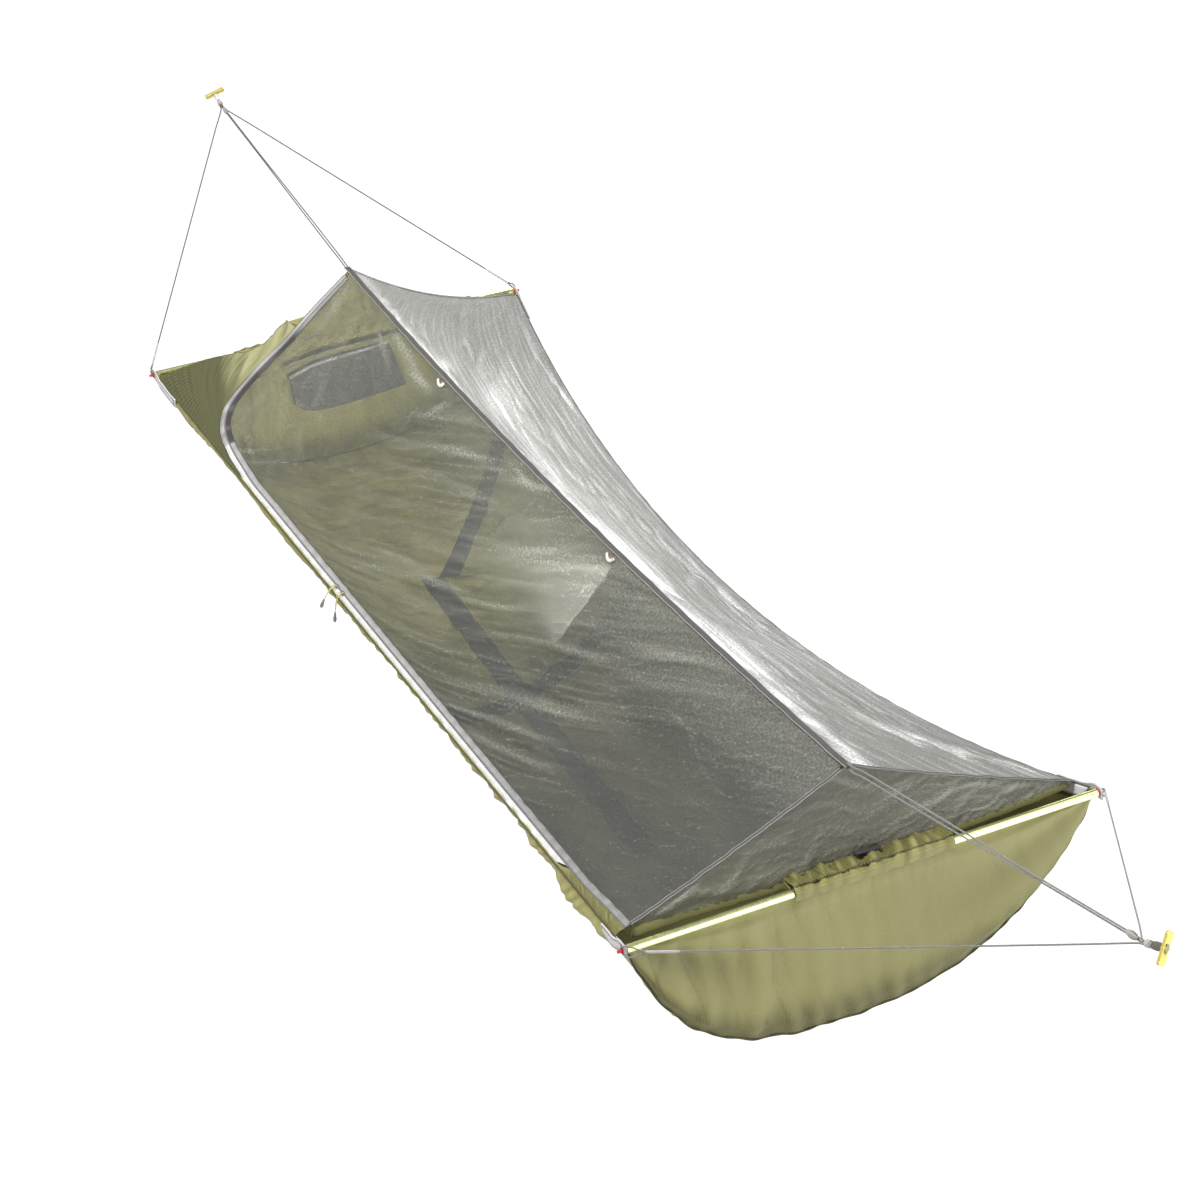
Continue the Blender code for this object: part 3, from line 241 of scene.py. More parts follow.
def patch(p, q, middle, length, width, angle):
    """Soft oval patch, 1 in its middle."""
    dp, dq = p - middle[0], q - middle[1]
    along = dp * np.cos(angle) + dq * np.sin(angle)
    across = -dp * np.sin(angle) + dq * np.cos(angle)
    return np.exp(-(along / length) ** 2 - (across / width) ** 2)


def patches(p, q, rows):
    """Sum of soft patches, each given as (middle, length, width, angle, strength)."""
    return sum(strength * patch(p, q, *shape) for *shape, strength in rows)


def fan(p, q, seed, centre, count, reach, sharp):
    """Ridges that radiate from a centre and die out with distance."""
    rng = np.random.default_rng(seed)
    dp, dq = p - centre[0], q - centre[1]
    distance = np.hypot(dp, dq)
    angle = np.arctan2(dq, dp)
    total = np.zeros_like(p)
    for _ in range(3):
        wave = 1.0 - np.abs(np.sin(angle * count * rng.uniform(0.7, 1.3) + random_phase(rng)
                                   + 0.5 * np.sin(distance * rng.uniform(10, 25))))
        total += wave ** sharp
    return total / 3 * np.exp(-distance / reach)


# ---- mesh helpers
def place(points):
    return np.asarray(points, float) + ORIGIN


def new_object(name, verts, faces, material_used, uvs, attributes=None):
    """Mesh object from points in the body's frame; uvs has a pair for each vertex, in metres."""
    mesh = bpy.data.meshes.new(name)
    mesh.from_pydata([tuple(v) for v in place(verts)], [], [tuple(f) for f in faces])
    layer = mesh.uv_layers.new(name="metres")
    index = np.zeros(len(mesh.loops), np.int32)
    mesh.loops.foreach_get("vertex_index", index)
    layer.data.foreach_set("uv", np.asarray(uvs, np.float32)[index].ravel())
    for key, values in (attributes or {}).items():
        mesh.attributes.new(key, "FLOAT", "POINT").data.foreach_set("value", np.asarray(values, np.float32))
    mesh.materials.append(material_used)
    mesh.shade_smooth()
    obj = bpy.data.objects.new(name, mesh)
    bpy.context.scene.collection.objects.link(obj)
    return obj


def finish_piece(obj, body="hammock", replaces=()):
    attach(obj, body)
    if replaces:
        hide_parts(*replaces)


def grid_faces(rows, cols, wrap=False):
    i, j = np.meshgrid(np.arange(rows - 1), np.arange(cols if wrap else cols - 1), indexing="ij")
    k = (j + 1) % cols
    return np.stack([i * cols + j, (i + 1) * cols + j, (i + 1) * cols + k, i * cols + k], -1).reshape(-1, 4)


def grid_uv(points):
    """Metres along the rows' and the columns' directions."""
    du = np.linalg.norm(np.diff(points, axis=0), axis=2).mean(1)
    dv = np.linalg.norm(np.diff(points, axis=1), axis=2)
    u = np.concatenate([[0.0], np.cumsum(du)])
    v = np.concatenate([np.zeros((points.shape[0], 1)), np.cumsum(dv, axis=1)], axis=1)
    return np.stack([np.broadcast_to(u[:, None], v.shape), v], -1).reshape(-1, 2)


def normals_of(points):
    along = np.gradient(points, axis=0)
    across = np.gradient(points, axis=1)
    return unit(np.cross(along, across))


def cloth(name, points, material_used, thickness=CLOTH, attributes=None):
    """Grid of points as a cloth of that thickness, closed all round."""
    rows, cols = points.shape[:2]
    flat = {k: np.broadcast_to(v, (rows, cols)).ravel() for k, v in (attributes or {}).items()}
    obj = new_object(name, points.reshape(-1, 3), grid_faces(rows, cols), material_used,
                     grid_uv(points), attributes=flat)
    solid = obj.modifiers.new("thickness", "SOLIDIFY")
    solid.thickness = thickness
    solid.offset = 0.0
    return obj


def frames_along(path, hint):
    """Side and up vectors along a path, turned as little as possible."""
    tangents = unit(np.gradient(path, axis=0))
    sides = []
    side = np.asarray(hint, float)
    for t in tangents:
        side = side - t * (side @ t)
        side = side / max(np.linalg.norm(side), 1e-9)
        sides.append(side.copy())
    sides = np.array(sides)
    return sides, np.cross(tangents, sides)


def sweep(name, path, section, material_used, hint=(0.0, 0.0, 1.0), scale=None):
    """Closed solid of a section, a list of (side, up), carried along a path with flat caps."""
    path = np.asarray(path, float)
    section = np.asarray(section, float)
    sides, ups = frames_along(path, hint)
    size = np.ones(len(path)) if scale is None else np.asarray(scale, float)
    rings = (path[:, None] + sides[:, None] * (section[None, :, 0, None] * size[:, None, None])
             + ups[:, None] * (section[None, :, 1, None] * size[:, None, None]))
    rows, cols = rings.shape[:2]
    faces = grid_faces(rows, cols, wrap=True).tolist()
    faces.append(list(range(cols))[::-1])
    faces.append([(rows - 1) * cols + k for k in range(cols)])
    around = np.concatenate([[0.0], np.cumsum(np.linalg.norm(np.diff(section, axis=0), axis=1))])
    uv = vec(*np.broadcast_arrays(lengths_along(path)[:, None], around[None, :]))
    return new_object(name, rings.reshape(-1, 3), faces, material_used, uv.reshape(-1, 2))


def swept(name, path, section, material_used, slot, body="hammock", replaces=(), **options):
    """A sweep that is a piece of its own."""
    finish_piece(sweep(name, path, section, material_used, **options), body, replaces)


def circle(radius, sides, squash=1.0):
    angles = 2 * np.pi * np.arange(sides) / sides
    return np.stack([radius * np.cos(angles), radius * squash * np.sin(angles)], -1)


def flat_section(width, thickness, bulge=0.3):
    """Section of a woven tape: flat faces with rounded edges; width runs along up."""
    half, t = width / 2, thickness / 2
    edge = min(t, half * bulge)
    points = []
    for sy, sx in ((1, 1), (1, -1), (-1, -1), (-1, 1)):
        order = (0, 1, 2) if sy * sx > 0 else (2, 1, 0)
        for k in order:
            angle = k * np.pi / 4
            points.append((sx * t * np.cos(angle), sy * (half - edge + edge * np.sin(angle))))
    return points


def joined(name, objects):
    """Joins mesh objects that share their materials into one piece."""
    verts, faces, uvs, mats, start = [], [], [], [], 0
    for o in objects:
        co = np.zeros(len(o.data.vertices) * 3, np.float32)
        o.data.vertices.foreach_get("co", co)
        verts.append(co.reshape(-1, 3))
        faces += [[v + start for v in p.vertices] for p in o.data.polygons]
        layer = o.data.uv_layers.active
        own = np.zeros((len(o.data.vertices), 2))
        for loop, uv in zip(o.data.loops, layer.data):
            own[loop.vertex_index] = uv.uv
        uvs.append(own)
        mats.append(o.data.materials[0])
        start += len(o.data.vertices)
        bpy.data.objects.remove(o)
    return new_object(name, np.concatenate(verts) - ORIGIN, faces, mats[0], np.concatenate(uvs))


# ---- material helpers
class Nodes:
    """Short way to write a node tree around one Principled shader."""

    def __init__(self, name, roughness, metallic=0.0, sheen=0.0, sheen_roughness=0.4, coat=0.0,
                 specular=0.5):
        self.material = bpy.data.materials.new(name)
        self.material.use_nodes = True
        self.tree = self.material.node_tree
        self.shader = self.tree.nodes["Principled BSDF"]
        for key, value in (("Roughness", roughness), ("Metallic", metallic), ("Sheen Weight", sheen),
                           ("Sheen Roughness", sheen_roughness), ("Coat Weight", coat),
                           ("Specular IOR Level", specular)):
            self.shader.inputs[key].default_value = value
        self.coords = self.tree.nodes.new("ShaderNodeTexCoord")

    def add(self, kind, **settings):
        node = self.tree.nodes.new(kind)
        for key, value in settings.items():
            setattr(node, key, value)
        return node

    def link(self, source, target):
        self.tree.links.new(source, target)
        return target

    def put(self, socket, value):
        if isinstance(value, bpy.types.NodeSocket):
            self.link(value, socket)
        else:
            socket.default_value = value

    def mapped(self, scale, kind, rotation=0.0):
        node = self.add("ShaderNodeMapping")
        node.inputs["Scale"].default_value = scale
        node.inputs["Rotation"].default_value = (0.0, 0.0, rotation)
        self.link(self.coords.outputs[kind], node.inputs["Vector"])
        return node.outputs["Vector"]

    def noise(self, scale, detail, roughness=0.55, kind="UV", stretch=(1.0, 1.0, 1.0)):
        node = self.add("ShaderNodeTexNoise")
        node.inputs["Scale"].default_value = scale
        node.inputs["Detail"].default_value = detail
        node.inputs["Roughness"].default_value = roughness
        self.link(self.mapped(stretch, kind), node.inputs["Vector"])
        return node.outputs["Fac"]

    def bands(self, pitch, direction, rotation=0.0):
        """Sine bands with that pitch in metres."""
        node = self.add("ShaderNodeTexWave", bands_direction=direction)
        node.inputs["Scale"].default_value = 2 * math.pi / pitch / 20.0
        self.link(self.mapped((1.0, 1.0, 1.0), "UV", rotation), node.inputs["Vector"])
        return node.outputs["Fac"]

    def crossed(self, pitch, degrees):
        """Two sets of bands, turned by that angle to either side."""
        return [self.bands(pitch, "X", math.radians(angle)) for angle in (degrees, -degrees)]

    def attribute(self, name):
        return self.add("ShaderNodeAttribute", attribute_name=name).outputs["Fac"]

    def math(self, operation, a, b, clamp=False):
        node = self.add("ShaderNodeMath", operation=operation, use_clamp=clamp)
        self.put(node.inputs[0], a)
        self.put(node.inputs[1], b)
        return node.outputs[0]

    def ramp(self, value, low, high, out_low=0.0, out_high=1.0):
        node = self.add("ShaderNodeMapRange", clamp=True)
        self.put(node.inputs["Value"], value)
        for key, number in (("From Min", low), ("From Max", high), ("To Min", out_low),
                            ("To Max", out_high)):
            node.inputs[key].default_value = number
        return node.outputs["Result"]

    def blend(self, factor, a, b):
        node = self.add("ShaderNodeMix", data_type="RGBA")
        self.put(node.inputs["Factor"], factor)
        self.put(node.inputs[6], a)
        self.put(node.inputs[7], b)
        return node.outputs[2]

    def tint(self, colour, towards, value, low, high, amount=1.0):
        """Colour mixed towards another by up to that amount, as the value goes from low to high."""
        return self.blend(self.ramp(value, low, high, 0.0, amount), colour, towards)

    def bump(self, height, distance, strength, after=None):
        node = self.add("ShaderNodeBump")
        node.inputs["Strength"].default_value = strength
        node.inputs["Distance"].default_value = distance
        self.link(height, node.inputs["Height"])
        if after is not None:
            self.link(after, node.inputs["Normal"])
        return node.outputs["Normal"]

    def done(self, colour, normal=None, roughness=None, alpha=None):
        for key, value in (("Base Color", colour), ("Normal", normal), ("Roughness", roughness),
                           ("Alpha", alpha)):
            if value is not None:
                self.put(self.shader.inputs[key], value)
        return self.material


def srgb(*colours):
    """Linear colours from the usual 0-255 numbers."""
    def linear(c):
        c = c / 255.0
        return c / 12.92 if c <= 0.04045 else ((c + 0.055) / 1.055) ** 2.4
    return [(linear(red), linear(green), linear(blue), 1.0) for red, green, blue in colours]


RIPSTOP_PITCH = 0.0055
WEAVE_PITCH = 0.0007
KNIT_PITCH = 0.0011
BRAID_PITCH = 0.0016
# near black that painted shade on the tapes goes towards
BLACKISH = (0.045, 0.040, 0.038, 1.0)


def ripstop(name, base, dark, light):
    """Thin nylon: plain weave, ripstop squares, soft mottling, and painted light and shade on its folds."""
    n = Nodes(name, 0.62, sheen=0.10, specular=0.22)
    base, dark, light = srgb(base, dark, light)
    fold_shade = n.attribute("fold_shade")
    cloud = n.noise(7.0, 4.0)
    colour = n.tint(base, light, cloud, 0.35, 0.68, 0.45)
    colour = n.tint(colour, dark, n.noise(2.3, 3.0), 0.42, 0.72, 0.35)
    # painted light and shade: the cloth's fold tone lightens the colour on one flank of the folds and darkens
    # it in creases and gathers
    colour = n.tint(colour, light, fold_shade, 0.0, 1.0, 0.9)
    colour = n.tint(colour, dark, fold_shade, 0.0, -1.0, 0.95)
    grid = n.math("MAXIMUM", *[n.ramp(n.bands(RIPSTOP_PITCH, way), 0.90, 0.985) for way in "XY"])
    colour = n.blend(n.math("MULTIPLY", grid, 0.22), colour, light)
    colour = n.tint(colour, dark, n.noise(480.0, 2.0), 0.35, 0.65, 0.22)
    weave = n.math("ADD", *[n.bands(WEAVE_PITCH, way) for way in "XY"])
    normal = n.bump(n.math("ADD", grid, n.math("MULTIPLY", weave, 0.35)), 0.00012, 0.6)
    normal = n.bump(n.noise(45.0, 5.0), 0.0022, 0.5, after=normal)
    return n.done(colour, normal, n.ramp(cloud, 0.3, 0.7, 0.55, 0.70))


def netting(name, thread, bright, dark, alpha, streak_alpha):
    """Fine knitted mesh: see-through between its threads, denser along its creases, with painted highlight
    along them and painted shade in its folds.
    """
    n = Nodes(name, 0.6, sheen=0.30, sheen_roughness=0.35, specular=0.30)
    thread, bright, dark = srgb(thread, bright, dark)
    crease_highlight, shade, cover = n.attribute("crease_highlight"), n.attribute("shade"), n.attribute("cover")
    grain = n.noise(190.0, 4.0, 0.75)
    cloud = n.noise(8.0, 6.0, 0.62, stretch=(0.6, 1.5, 1.0))
    broken = n.math("MULTIPLY", crease_highlight, n.ramp(grain, 0.36, 0.64, 0.45, 1.45))
    # painted shade: colour darkened by the shade tone; painted highlight: colour lightened along the creases;
    # the grain fleck is the net's own
    colour = n.tint(thread, dark, cloud, 0.38, 0.66, 0.60)
    colour = n.tint(colour, dark, shade, 0.0, 1.0, 0.85)
    colour = n.tint(colour, bright, broken, 0.04, 0.9)
    colour = n.tint(colour, bright, grain, 0.50, 0.70, 0.16)
    knit = n.math("MULTIPLY", *n.crossed(KNIT_PITCH, 60))
    seen = n.math("ADD", n.ramp(cloud, 0.3, 0.7, alpha - 0.05, alpha + 0.05), cover)
    for part in (n.ramp(knit, 0.0, 1.0, 0.04, -0.04), n.ramp(broken, 0.04, 0.9, 0.0, streak_alpha),
                 n.ramp(shade, 0.0, 1.0, 0.0, 0.10)):
        seen = n.math("ADD", seen, part)
    seen = n.math("ADD", seen, n.ramp(grain, 0.38, 0.62, -0.06, 0.06), clamp=True)
    return n.done(colour, n.bump(knit, 0.0002, 0.5), None, seen)


def webbing(name, base, dark, light, rib=0.0012, cross=0.0022):
    """Woven tape with ribs across it, a twill line on the slant, and painted shade towards near black where
    its shade attribute asks.
    """
    n = Nodes(name, 0.75, sheen=0.10, specular=0.18)
    base, dark, light = srgb(base, dark, light)
    ribs = n.bands(rib, "X")
    twill = n.bands(cross, "X", math.radians(45))
    cloud = n.noise(60.0, 4.0)
    colour = n.tint(dark, base, ribs, 0.1, 0.9, 0.75)
    colour = n.tint(colour, light, twill, 0.5, 1.0, 0.30)
    colour = n.tint(colour, dark, cloud, 0.45, 0.8, 0.30)
    # painted shade: colour darkened towards near black by the shade attribute
    colour = n.tint(colour, BLACKISH, n.attribute("shade"), 0.0, 1.0, 0.97)
    height = n.math("ADD", ribs, n.math("MULTIPLY", twill, 0.5))
    return n.done(colour, n.bump(height, 0.00025, 0.8), n.ramp(cloud, 0.3, 0.7, 0.65, 0.85))


def braid(name, base, dark, light):
    """Braided cord: two sets of strands that cross on the slant, with a lighter fleck."""
    n = Nodes(name, 0.7, sheen=0.3, specular=0.3)
    base, dark, light = srgb(base, dark, light)
    strands = n.math("MAXIMUM", *n.crossed(BRAID_PITCH, 38))
    colour = n.tint(dark, base, strands, 0.45, 0.95)
    colour = n.tint(colour, light, n.noise(420.0, 1.0), 0.55, 0.75, 0.7)
    return n.done(colour, n.bump(strands, 0.0003, 0.8), n.ramp(strands, 0.4, 1.0, 0.85, 0.6))


def anodised(name, base, dark, roughness, metallic=0.85):
    """Dyed oxide on aluminium: bright under a clear skin, with drawing lines and handling wear."""
    n = Nodes(name, roughness, metallic=metallic, coat=0.10 * metallic, specular=0.5)
    n.shader.inputs["Coat Roughness"].default_value = 0.12
    lines = n.noise(900.0, 2.0, kind="Object", stretch=(1.0, 0.02, 1.0))
    marks_and_highlights = n.noise(70.0, 5.0, 0.65, kind="Object")
    colour = n.tint(base, dark, marks_and_highlights, 0.55, 0.8, 0.45)
    normal = n.bump(lines, 0.00001, 0.1)
    return n.done(colour, normal, n.ramp(marks_and_highlights, 0.35, 0.8, roughness, roughness + 0.15))


def plastic(name, base, dark, roughness=0.42):
    """Moulded plastic with a fine spark-eroded grain and slight yellowing."""
    n = Nodes(name, roughness, specular=0.45)
    grain = n.noise(2600.0, 2.0, kind="Object")
    cloud = n.noise(120.0, 3.0, kind="Object")
    colour = n.tint(*srgb(base, dark), cloud, 0.4, 0.75, 0.5)
    spread = n.ramp(grain, 0.3, 0.7, roughness - 0.06, roughness + 0.1)
    return n.done(colour, n.bump(grain, 0.00006, 0.5), spread)


def steel(name):
    """Plated steel with fine brushing."""
    n = Nodes(name, 0.35, metallic=1.0)
    brush = n.noise(1500.0, 2.0, kind="Object", stretch=(0.05, 1.0, 1.0))
    colour = n.tint(*srgb((150, 150, 150), (190, 190, 188)), brush, 0.3, 0.7)
    return n.done(colour, n.bump(brush, 0.00003, 0.4), n.ramp(brush, 0.3, 0.7, 0.28, 0.42))


OLIVE_SHADE = ripstop("olive_in_shade", (122, 122, 88), (66, 66, 40), (168, 166, 124))
OLIVE = ripstop("olive_ripstop", (147, 143, 86), (86, 84, 42), (173, 168, 112))
# one net in three copies: painted paler on the far panel for the sheen it shows at a grazing view, darker on
# the door, and between on the foot
NET_DOOR = netting("net_door_mesh", (94, 95, 91), (164, 164, 152), (64, 65, 62), 0.24, 0.22)
NET_FAR = netting("net_far_mesh", (164, 164, 161), (238, 238, 236), (110, 110, 104), 0.55, 0.32)
NET_FOOT = netting("net_foot_mesh", (128, 128, 116), (178, 178, 166), (94, 94, 84), 0.36, 0.18)
POCKET_MESH = netting("pocket_mesh", (88, 88, 88), (106, 106, 104), (76, 76, 76), 0.80, 0.08)
LIGHT_WEBBING = webbing("light_webbing", (224, 223, 222), (184, 182, 181), (242, 241, 240))
PALE_TAPE = webbing("pale_zip_tape", (228, 228, 227), (196, 195, 194), (246, 246, 245), 0.0009, 0.0018)
GREY_TAPE = webbing("grey_zip_tape", (196, 195, 194), (156, 154, 153), (220, 219, 218), 0.0009, 0.0018)
DARK_BINDING = webbing("dark_binding", (96, 94, 92), (62, 60, 59), (128, 126, 124))
BAND_CLOTH = webbing("band_cloth", (70, 70, 66), (52, 52, 49), (88, 88, 84), 0.0016, 0.003)
OLIVE_BINDING = webbing("olive_binding", (150, 148, 92), (118, 116, 70), (176, 174, 120))
SEAM_DARK = webbing("seam_dark", (92, 88, 54), (64, 61, 36), (118, 114, 74))
COIL = webbing("zip_coil", (144, 141, 141), (90, 87, 88), (176, 173, 173), 0.0013, 0.0013)
PIPING = webbing("pale_piping", (170, 168, 166), (116, 114, 112), (202, 200, 198))
# one cord in two copies: painted darker at the head and lighter at the foot, for the shade and light on the
# two ends
CORD = braid("grey_braid", (104, 102, 98), (64, 62, 59), (150, 148, 144))
LIT_FOOT_CORD = braid("lit_foot_braid", (140, 137, 134), (88, 85, 82), (182, 180, 176))
SPLICE = braid("pale_braid", (190, 184, 180), (146, 140, 136), (214, 210, 206))
LIME_CORD = braid("lime_braid", (222, 222, 150), (178, 180, 92), (240, 240, 190))
ADJUSTER_TAB = webbing("adjuster_webbing", (190, 186, 176), (134, 130, 122), (224, 222, 216), 0.0016, 0.003)
DARK_LOOP = webbing("dark_loop_webbing", (108, 106, 98), (74, 72, 66), (134, 132, 124))
LIME = anodised("lime_anodised", (0.50, 0.52, 0.25, 1.0), (0.38, 0.40, 0.17, 1.0), 0.22)
GOLD = anodised("gold_anodised", (0.52, 0.44, 0.10, 1.0), (0.34, 0.27, 0.05, 1.0), 0.42, 0.25)
RED = plastic("red_tip_plastic", (196, 36, 44), (150, 24, 34))
GREY_TIP = plastic("grey_tip_plastic", (122, 120, 118), (98, 96, 94), 0.5)
WHITE_PLASTIC = plastic("white_plastic", (240, 237, 232), (214, 207, 198))
CLEAR_SLEEVE = plastic("milky_sleeve", (214, 212, 206), (190, 188, 180), 0.3)
TAB_BROWN = webbing("tab_webbing", (152, 116, 112), (112, 80, 78), (178, 146, 140))
BLACK_WEBBING = webbing("black_webbing", (66, 64, 70), (40, 38, 42), (92, 90, 96))
THREAD_DARK = plastic("dark_thread", (84, 80, 84), (60, 56, 60), 0.7)
THREAD_PALE = plastic("pale_thread", (206, 204, 158), (180, 178, 130), 0.7)
PLATED = steel("plated_steel")


# ---- shape of the trough and the net, as in the CAD
def fall(x):
    x = np.clip(x, -END_X, END_X)
    return (np.sqrt(EDGE_ARC_R ** 2 - x * x) - (EDGE_ARC_R - EDGE_DROP)) / EDGE_DROP


def edge(x, side):
    f = fall(x)
    return vec(x, side * (EDGE_HALF_WIDTH - EDGE_BOW * f), -EDGE_SAG * f)


def section_of(x):
    """Half width, radius and centre height of the trough's section."""
    f = fall(x)
    half = EDGE_HALF_WIDTH - EDGE_BOW * f
    depth = mix(END_DEPTH, MID_DEPTH, f)
    radius = (half * half + depth * depth) / (2 * depth)
    return half, radius, -EDGE_SAG * f - depth + radius


def trough(x, across, outwards):
    half, radius, centre_z = section_of(x)
    angle = across * np.arcsin(half / radius)
    belly = np.where(across < 0, NEAR_BELLY, FAR_BELLY) * (1.0 - 0.4 * fall(x))
    reach = radius + outwards + belly * np.sin(np.pi * across) ** 2
    return vec(x, reach * np.sin(angle), centre_z - reach * np.cos(angle))


def across_at(x, y):
    half, radius, _ = section_of(x)
    return np.arcsin(y / radius) / np.arcsin(half / radius)


def ridge(t):
    t = np.asarray(t, float)
    return mixv(RIDGE_HEAD, RIDGE_FOOT, t) - UP * (RIDGE_SAG * 4 * t * (1 - t))[..., None]


def net_point(u, s, side):
    low = edge(mix(-END_X, END_X, u), side)
    sag = mix(HEAD_HIP_SAG, NET_SAG, min(1.0, u * 4))
    return mix(low, ridge(u), s) - UP * (sag * 4 * s * (1 - s))


def hip(end, side, s):
    s = np.asarray(s, float)
    corner, top, sag = HIPS[end]
    low = corner * np.array([1.0, side, 1.0])
    return mixv(low, top, s) - UP * (sag * 4 * s * (1 - s))[..., None]


def net_normal(u, s, side):
    small = 0.01
    along = net_point(u + small, s, side) - net_point(u - small, s, side)
    across = net_point(u, s + small, side) - net_point(u, s - small, side)
    normal = unit(np.cross(along, across))
    return normal if normal[2] > 0 else -normal


def zip_line():
    """Middle line of the zip and its outward normals, from the ridge to the foot corner."""
    points = [net_point(u, s, -1) for u, s in ZIP_TURN]
    normals = [net_normal(u, s, -1) for u, s in ZIP_TURN]
    for x in np.linspace(*ZIP_ARC_X, 18):
        on_edge = edge(x, -1)
        points.append(on_edge + ZIP_AXIS * ZIP_OFFSET)
        normals.append(-unit(on_edge - ZIP_CENTRE))
    corner = FOOT_CORNER * TO_NEAR_SIDE
    points += [edge(1.06, -1) + ZIP_AXIS * 0.0185, corner - np.array([0.006, 0.0, 0.006])]
    normals += [normals[-1], normals[-1]]
    return smooth_line(points, 10), unit(smooth_line(normals, 10))


ZIP_POINTS, ZIP_NORMALS = zip_line()
ZIP_DOORWARDS = unit(np.cross(ZIP_NORMALS, np.gradient(ZIP_POINTS, axis=0)))


def zip_side(offset):
    """Line beside the zip's middle; a positive offset is towards the door."""
    return ZIP_POINTS + ZIP_DOORWARDS * offset


def coons(bottom, top, left, right, rows, cols, sag=0.0):
    """Surface between four lines; bottom and top run from left to right."""
    a = np.linspace(0, 1, rows)
    b = np.linspace(0, 1, cols)
    low, high = resample(bottom, a)[:, None], resample(top, a)[:, None]
    start, end = resample(left, b)[None], resample(right, b)[None]
    aa, bb = a[:, None, None], b[None, :, None]
    corners = mix(mix(low[0, 0], low[-1, 0], aa), mix(high[0, 0], high[-1, 0], aa), bb)
    flat = mix(low, high, bb) + mix(start, end, aa) - corners
    drop = sag * 16 * aa * (1 - aa) * bb * (1 - bb)
    return flat - UP * drop, a[:, None] * np.ones(cols), b[None, :] * np.ones((rows, 1))


# ---- trough and end walls
def edge_distance(x, across):
    """Metres of cloth between a point of the trough and its nearer top edge."""
    half, radius, _ = section_of(x)
    return (1 - np.abs(across)) * np.arcsin(half / radius) * radius


def body_bulge(x, across):
    """How far the cloth stands out of its smooth section, and painted light and shade on its folds."""
    away = edge_distance(x, across)
    near = (across < 0) * 1.0
    lip = np.exp(-(away / 0.045) ** 2) * (1 - np.exp(-(away / 0.006) ** 2))
    slack = 0.021 * np.exp(-((x - 0.965) / 0.105) ** 2) + 0.004 * np.exp(-((x + 0.55) / 0.2) ** 2)
    calm = 0.35 + 0.65 * smoothstep(-0.75, 0.1, x)
    swell = 0.0060 + (0.0042 * ripple(x, 11, 0.26) + 0.0024 * ripple(x, 12, 0.07)) * calm + slack * near
    sway = x + 0.55 * away + 0.010 * ripple(away, 13, 0.05)
    pucker = ripple(sway, 14, 0.026) * np.exp(-(away / 0.05) ** 2) * smoothstep(0, 0.004, away) * calm
    pleats = 0.0014 * ripple(away + 0.010 * ripple(x, 15, 0.3), 16, 0.016) * np.exp(-(away / 0.07) ** 2)
    arc = across * 0.45
    folds = long_folds(x, arc, 21, 0.10, math.radians(72), 4.0, 0.35) * smoothstep(0.02, 0.10, away)
    fine = long_folds(x, arc, 22, 0.040, math.radians(50), 6.0, 0.5, 4) * smoothstep(0.01, 0.05, away)
    ends = np.exp(-((END_X - np.abs(x)) / 0.05) ** 2)
    gathers = ripple(arc, 23, 0.022) * ends * smoothstep(0, 0.006, away)
    settle = smoothstep(0.0, 0.004, END_X - np.abs(x))
    loose = smoothstep(0, 0.03, END_X - np.abs(x))
    bulge = lip * swell + 0.0018 * pucker + pleats * smoothstep(0, 0.004, away)
    bulge = bulge + (0.0050 * folds + 0.0016 * fine) * loose + 0.0022 * gathers
    # painted light and shade: folds, puckers and gathers lit on one flank and shaded on the other, with
    # painted shade right along the top edge
    tone = 0.35 * folds + 0.25 * fine + 0.55 * pucker + 0.4 * gathers - 0.5 * np.exp(-(away / 0.004) ** 2)
    return bulge * settle, tone


def build_body():
    x = np.linspace(-END_X, END_X, 361)[:, None]
    lean = np.linspace(-1, 1, 121)
    across = np.sign(lean) * (1 - (1 - np.abs(lean)) ** 1.35)
    xx, aa = np.broadcast_arrays(x, across[None, :])
    bulge, tone = body_bulge(xx, aa)
    obj = cloth("body_cloth", trough(xx, aa, bulge), OLIVE, attributes={"fold_shade": tone})
    finish_piece(obj, replaces=["body_fabric"])


def wall_outline(a, outwards):
    points = trough(END_X, a, outwards)
    return points[..., 1], points[..., 2]


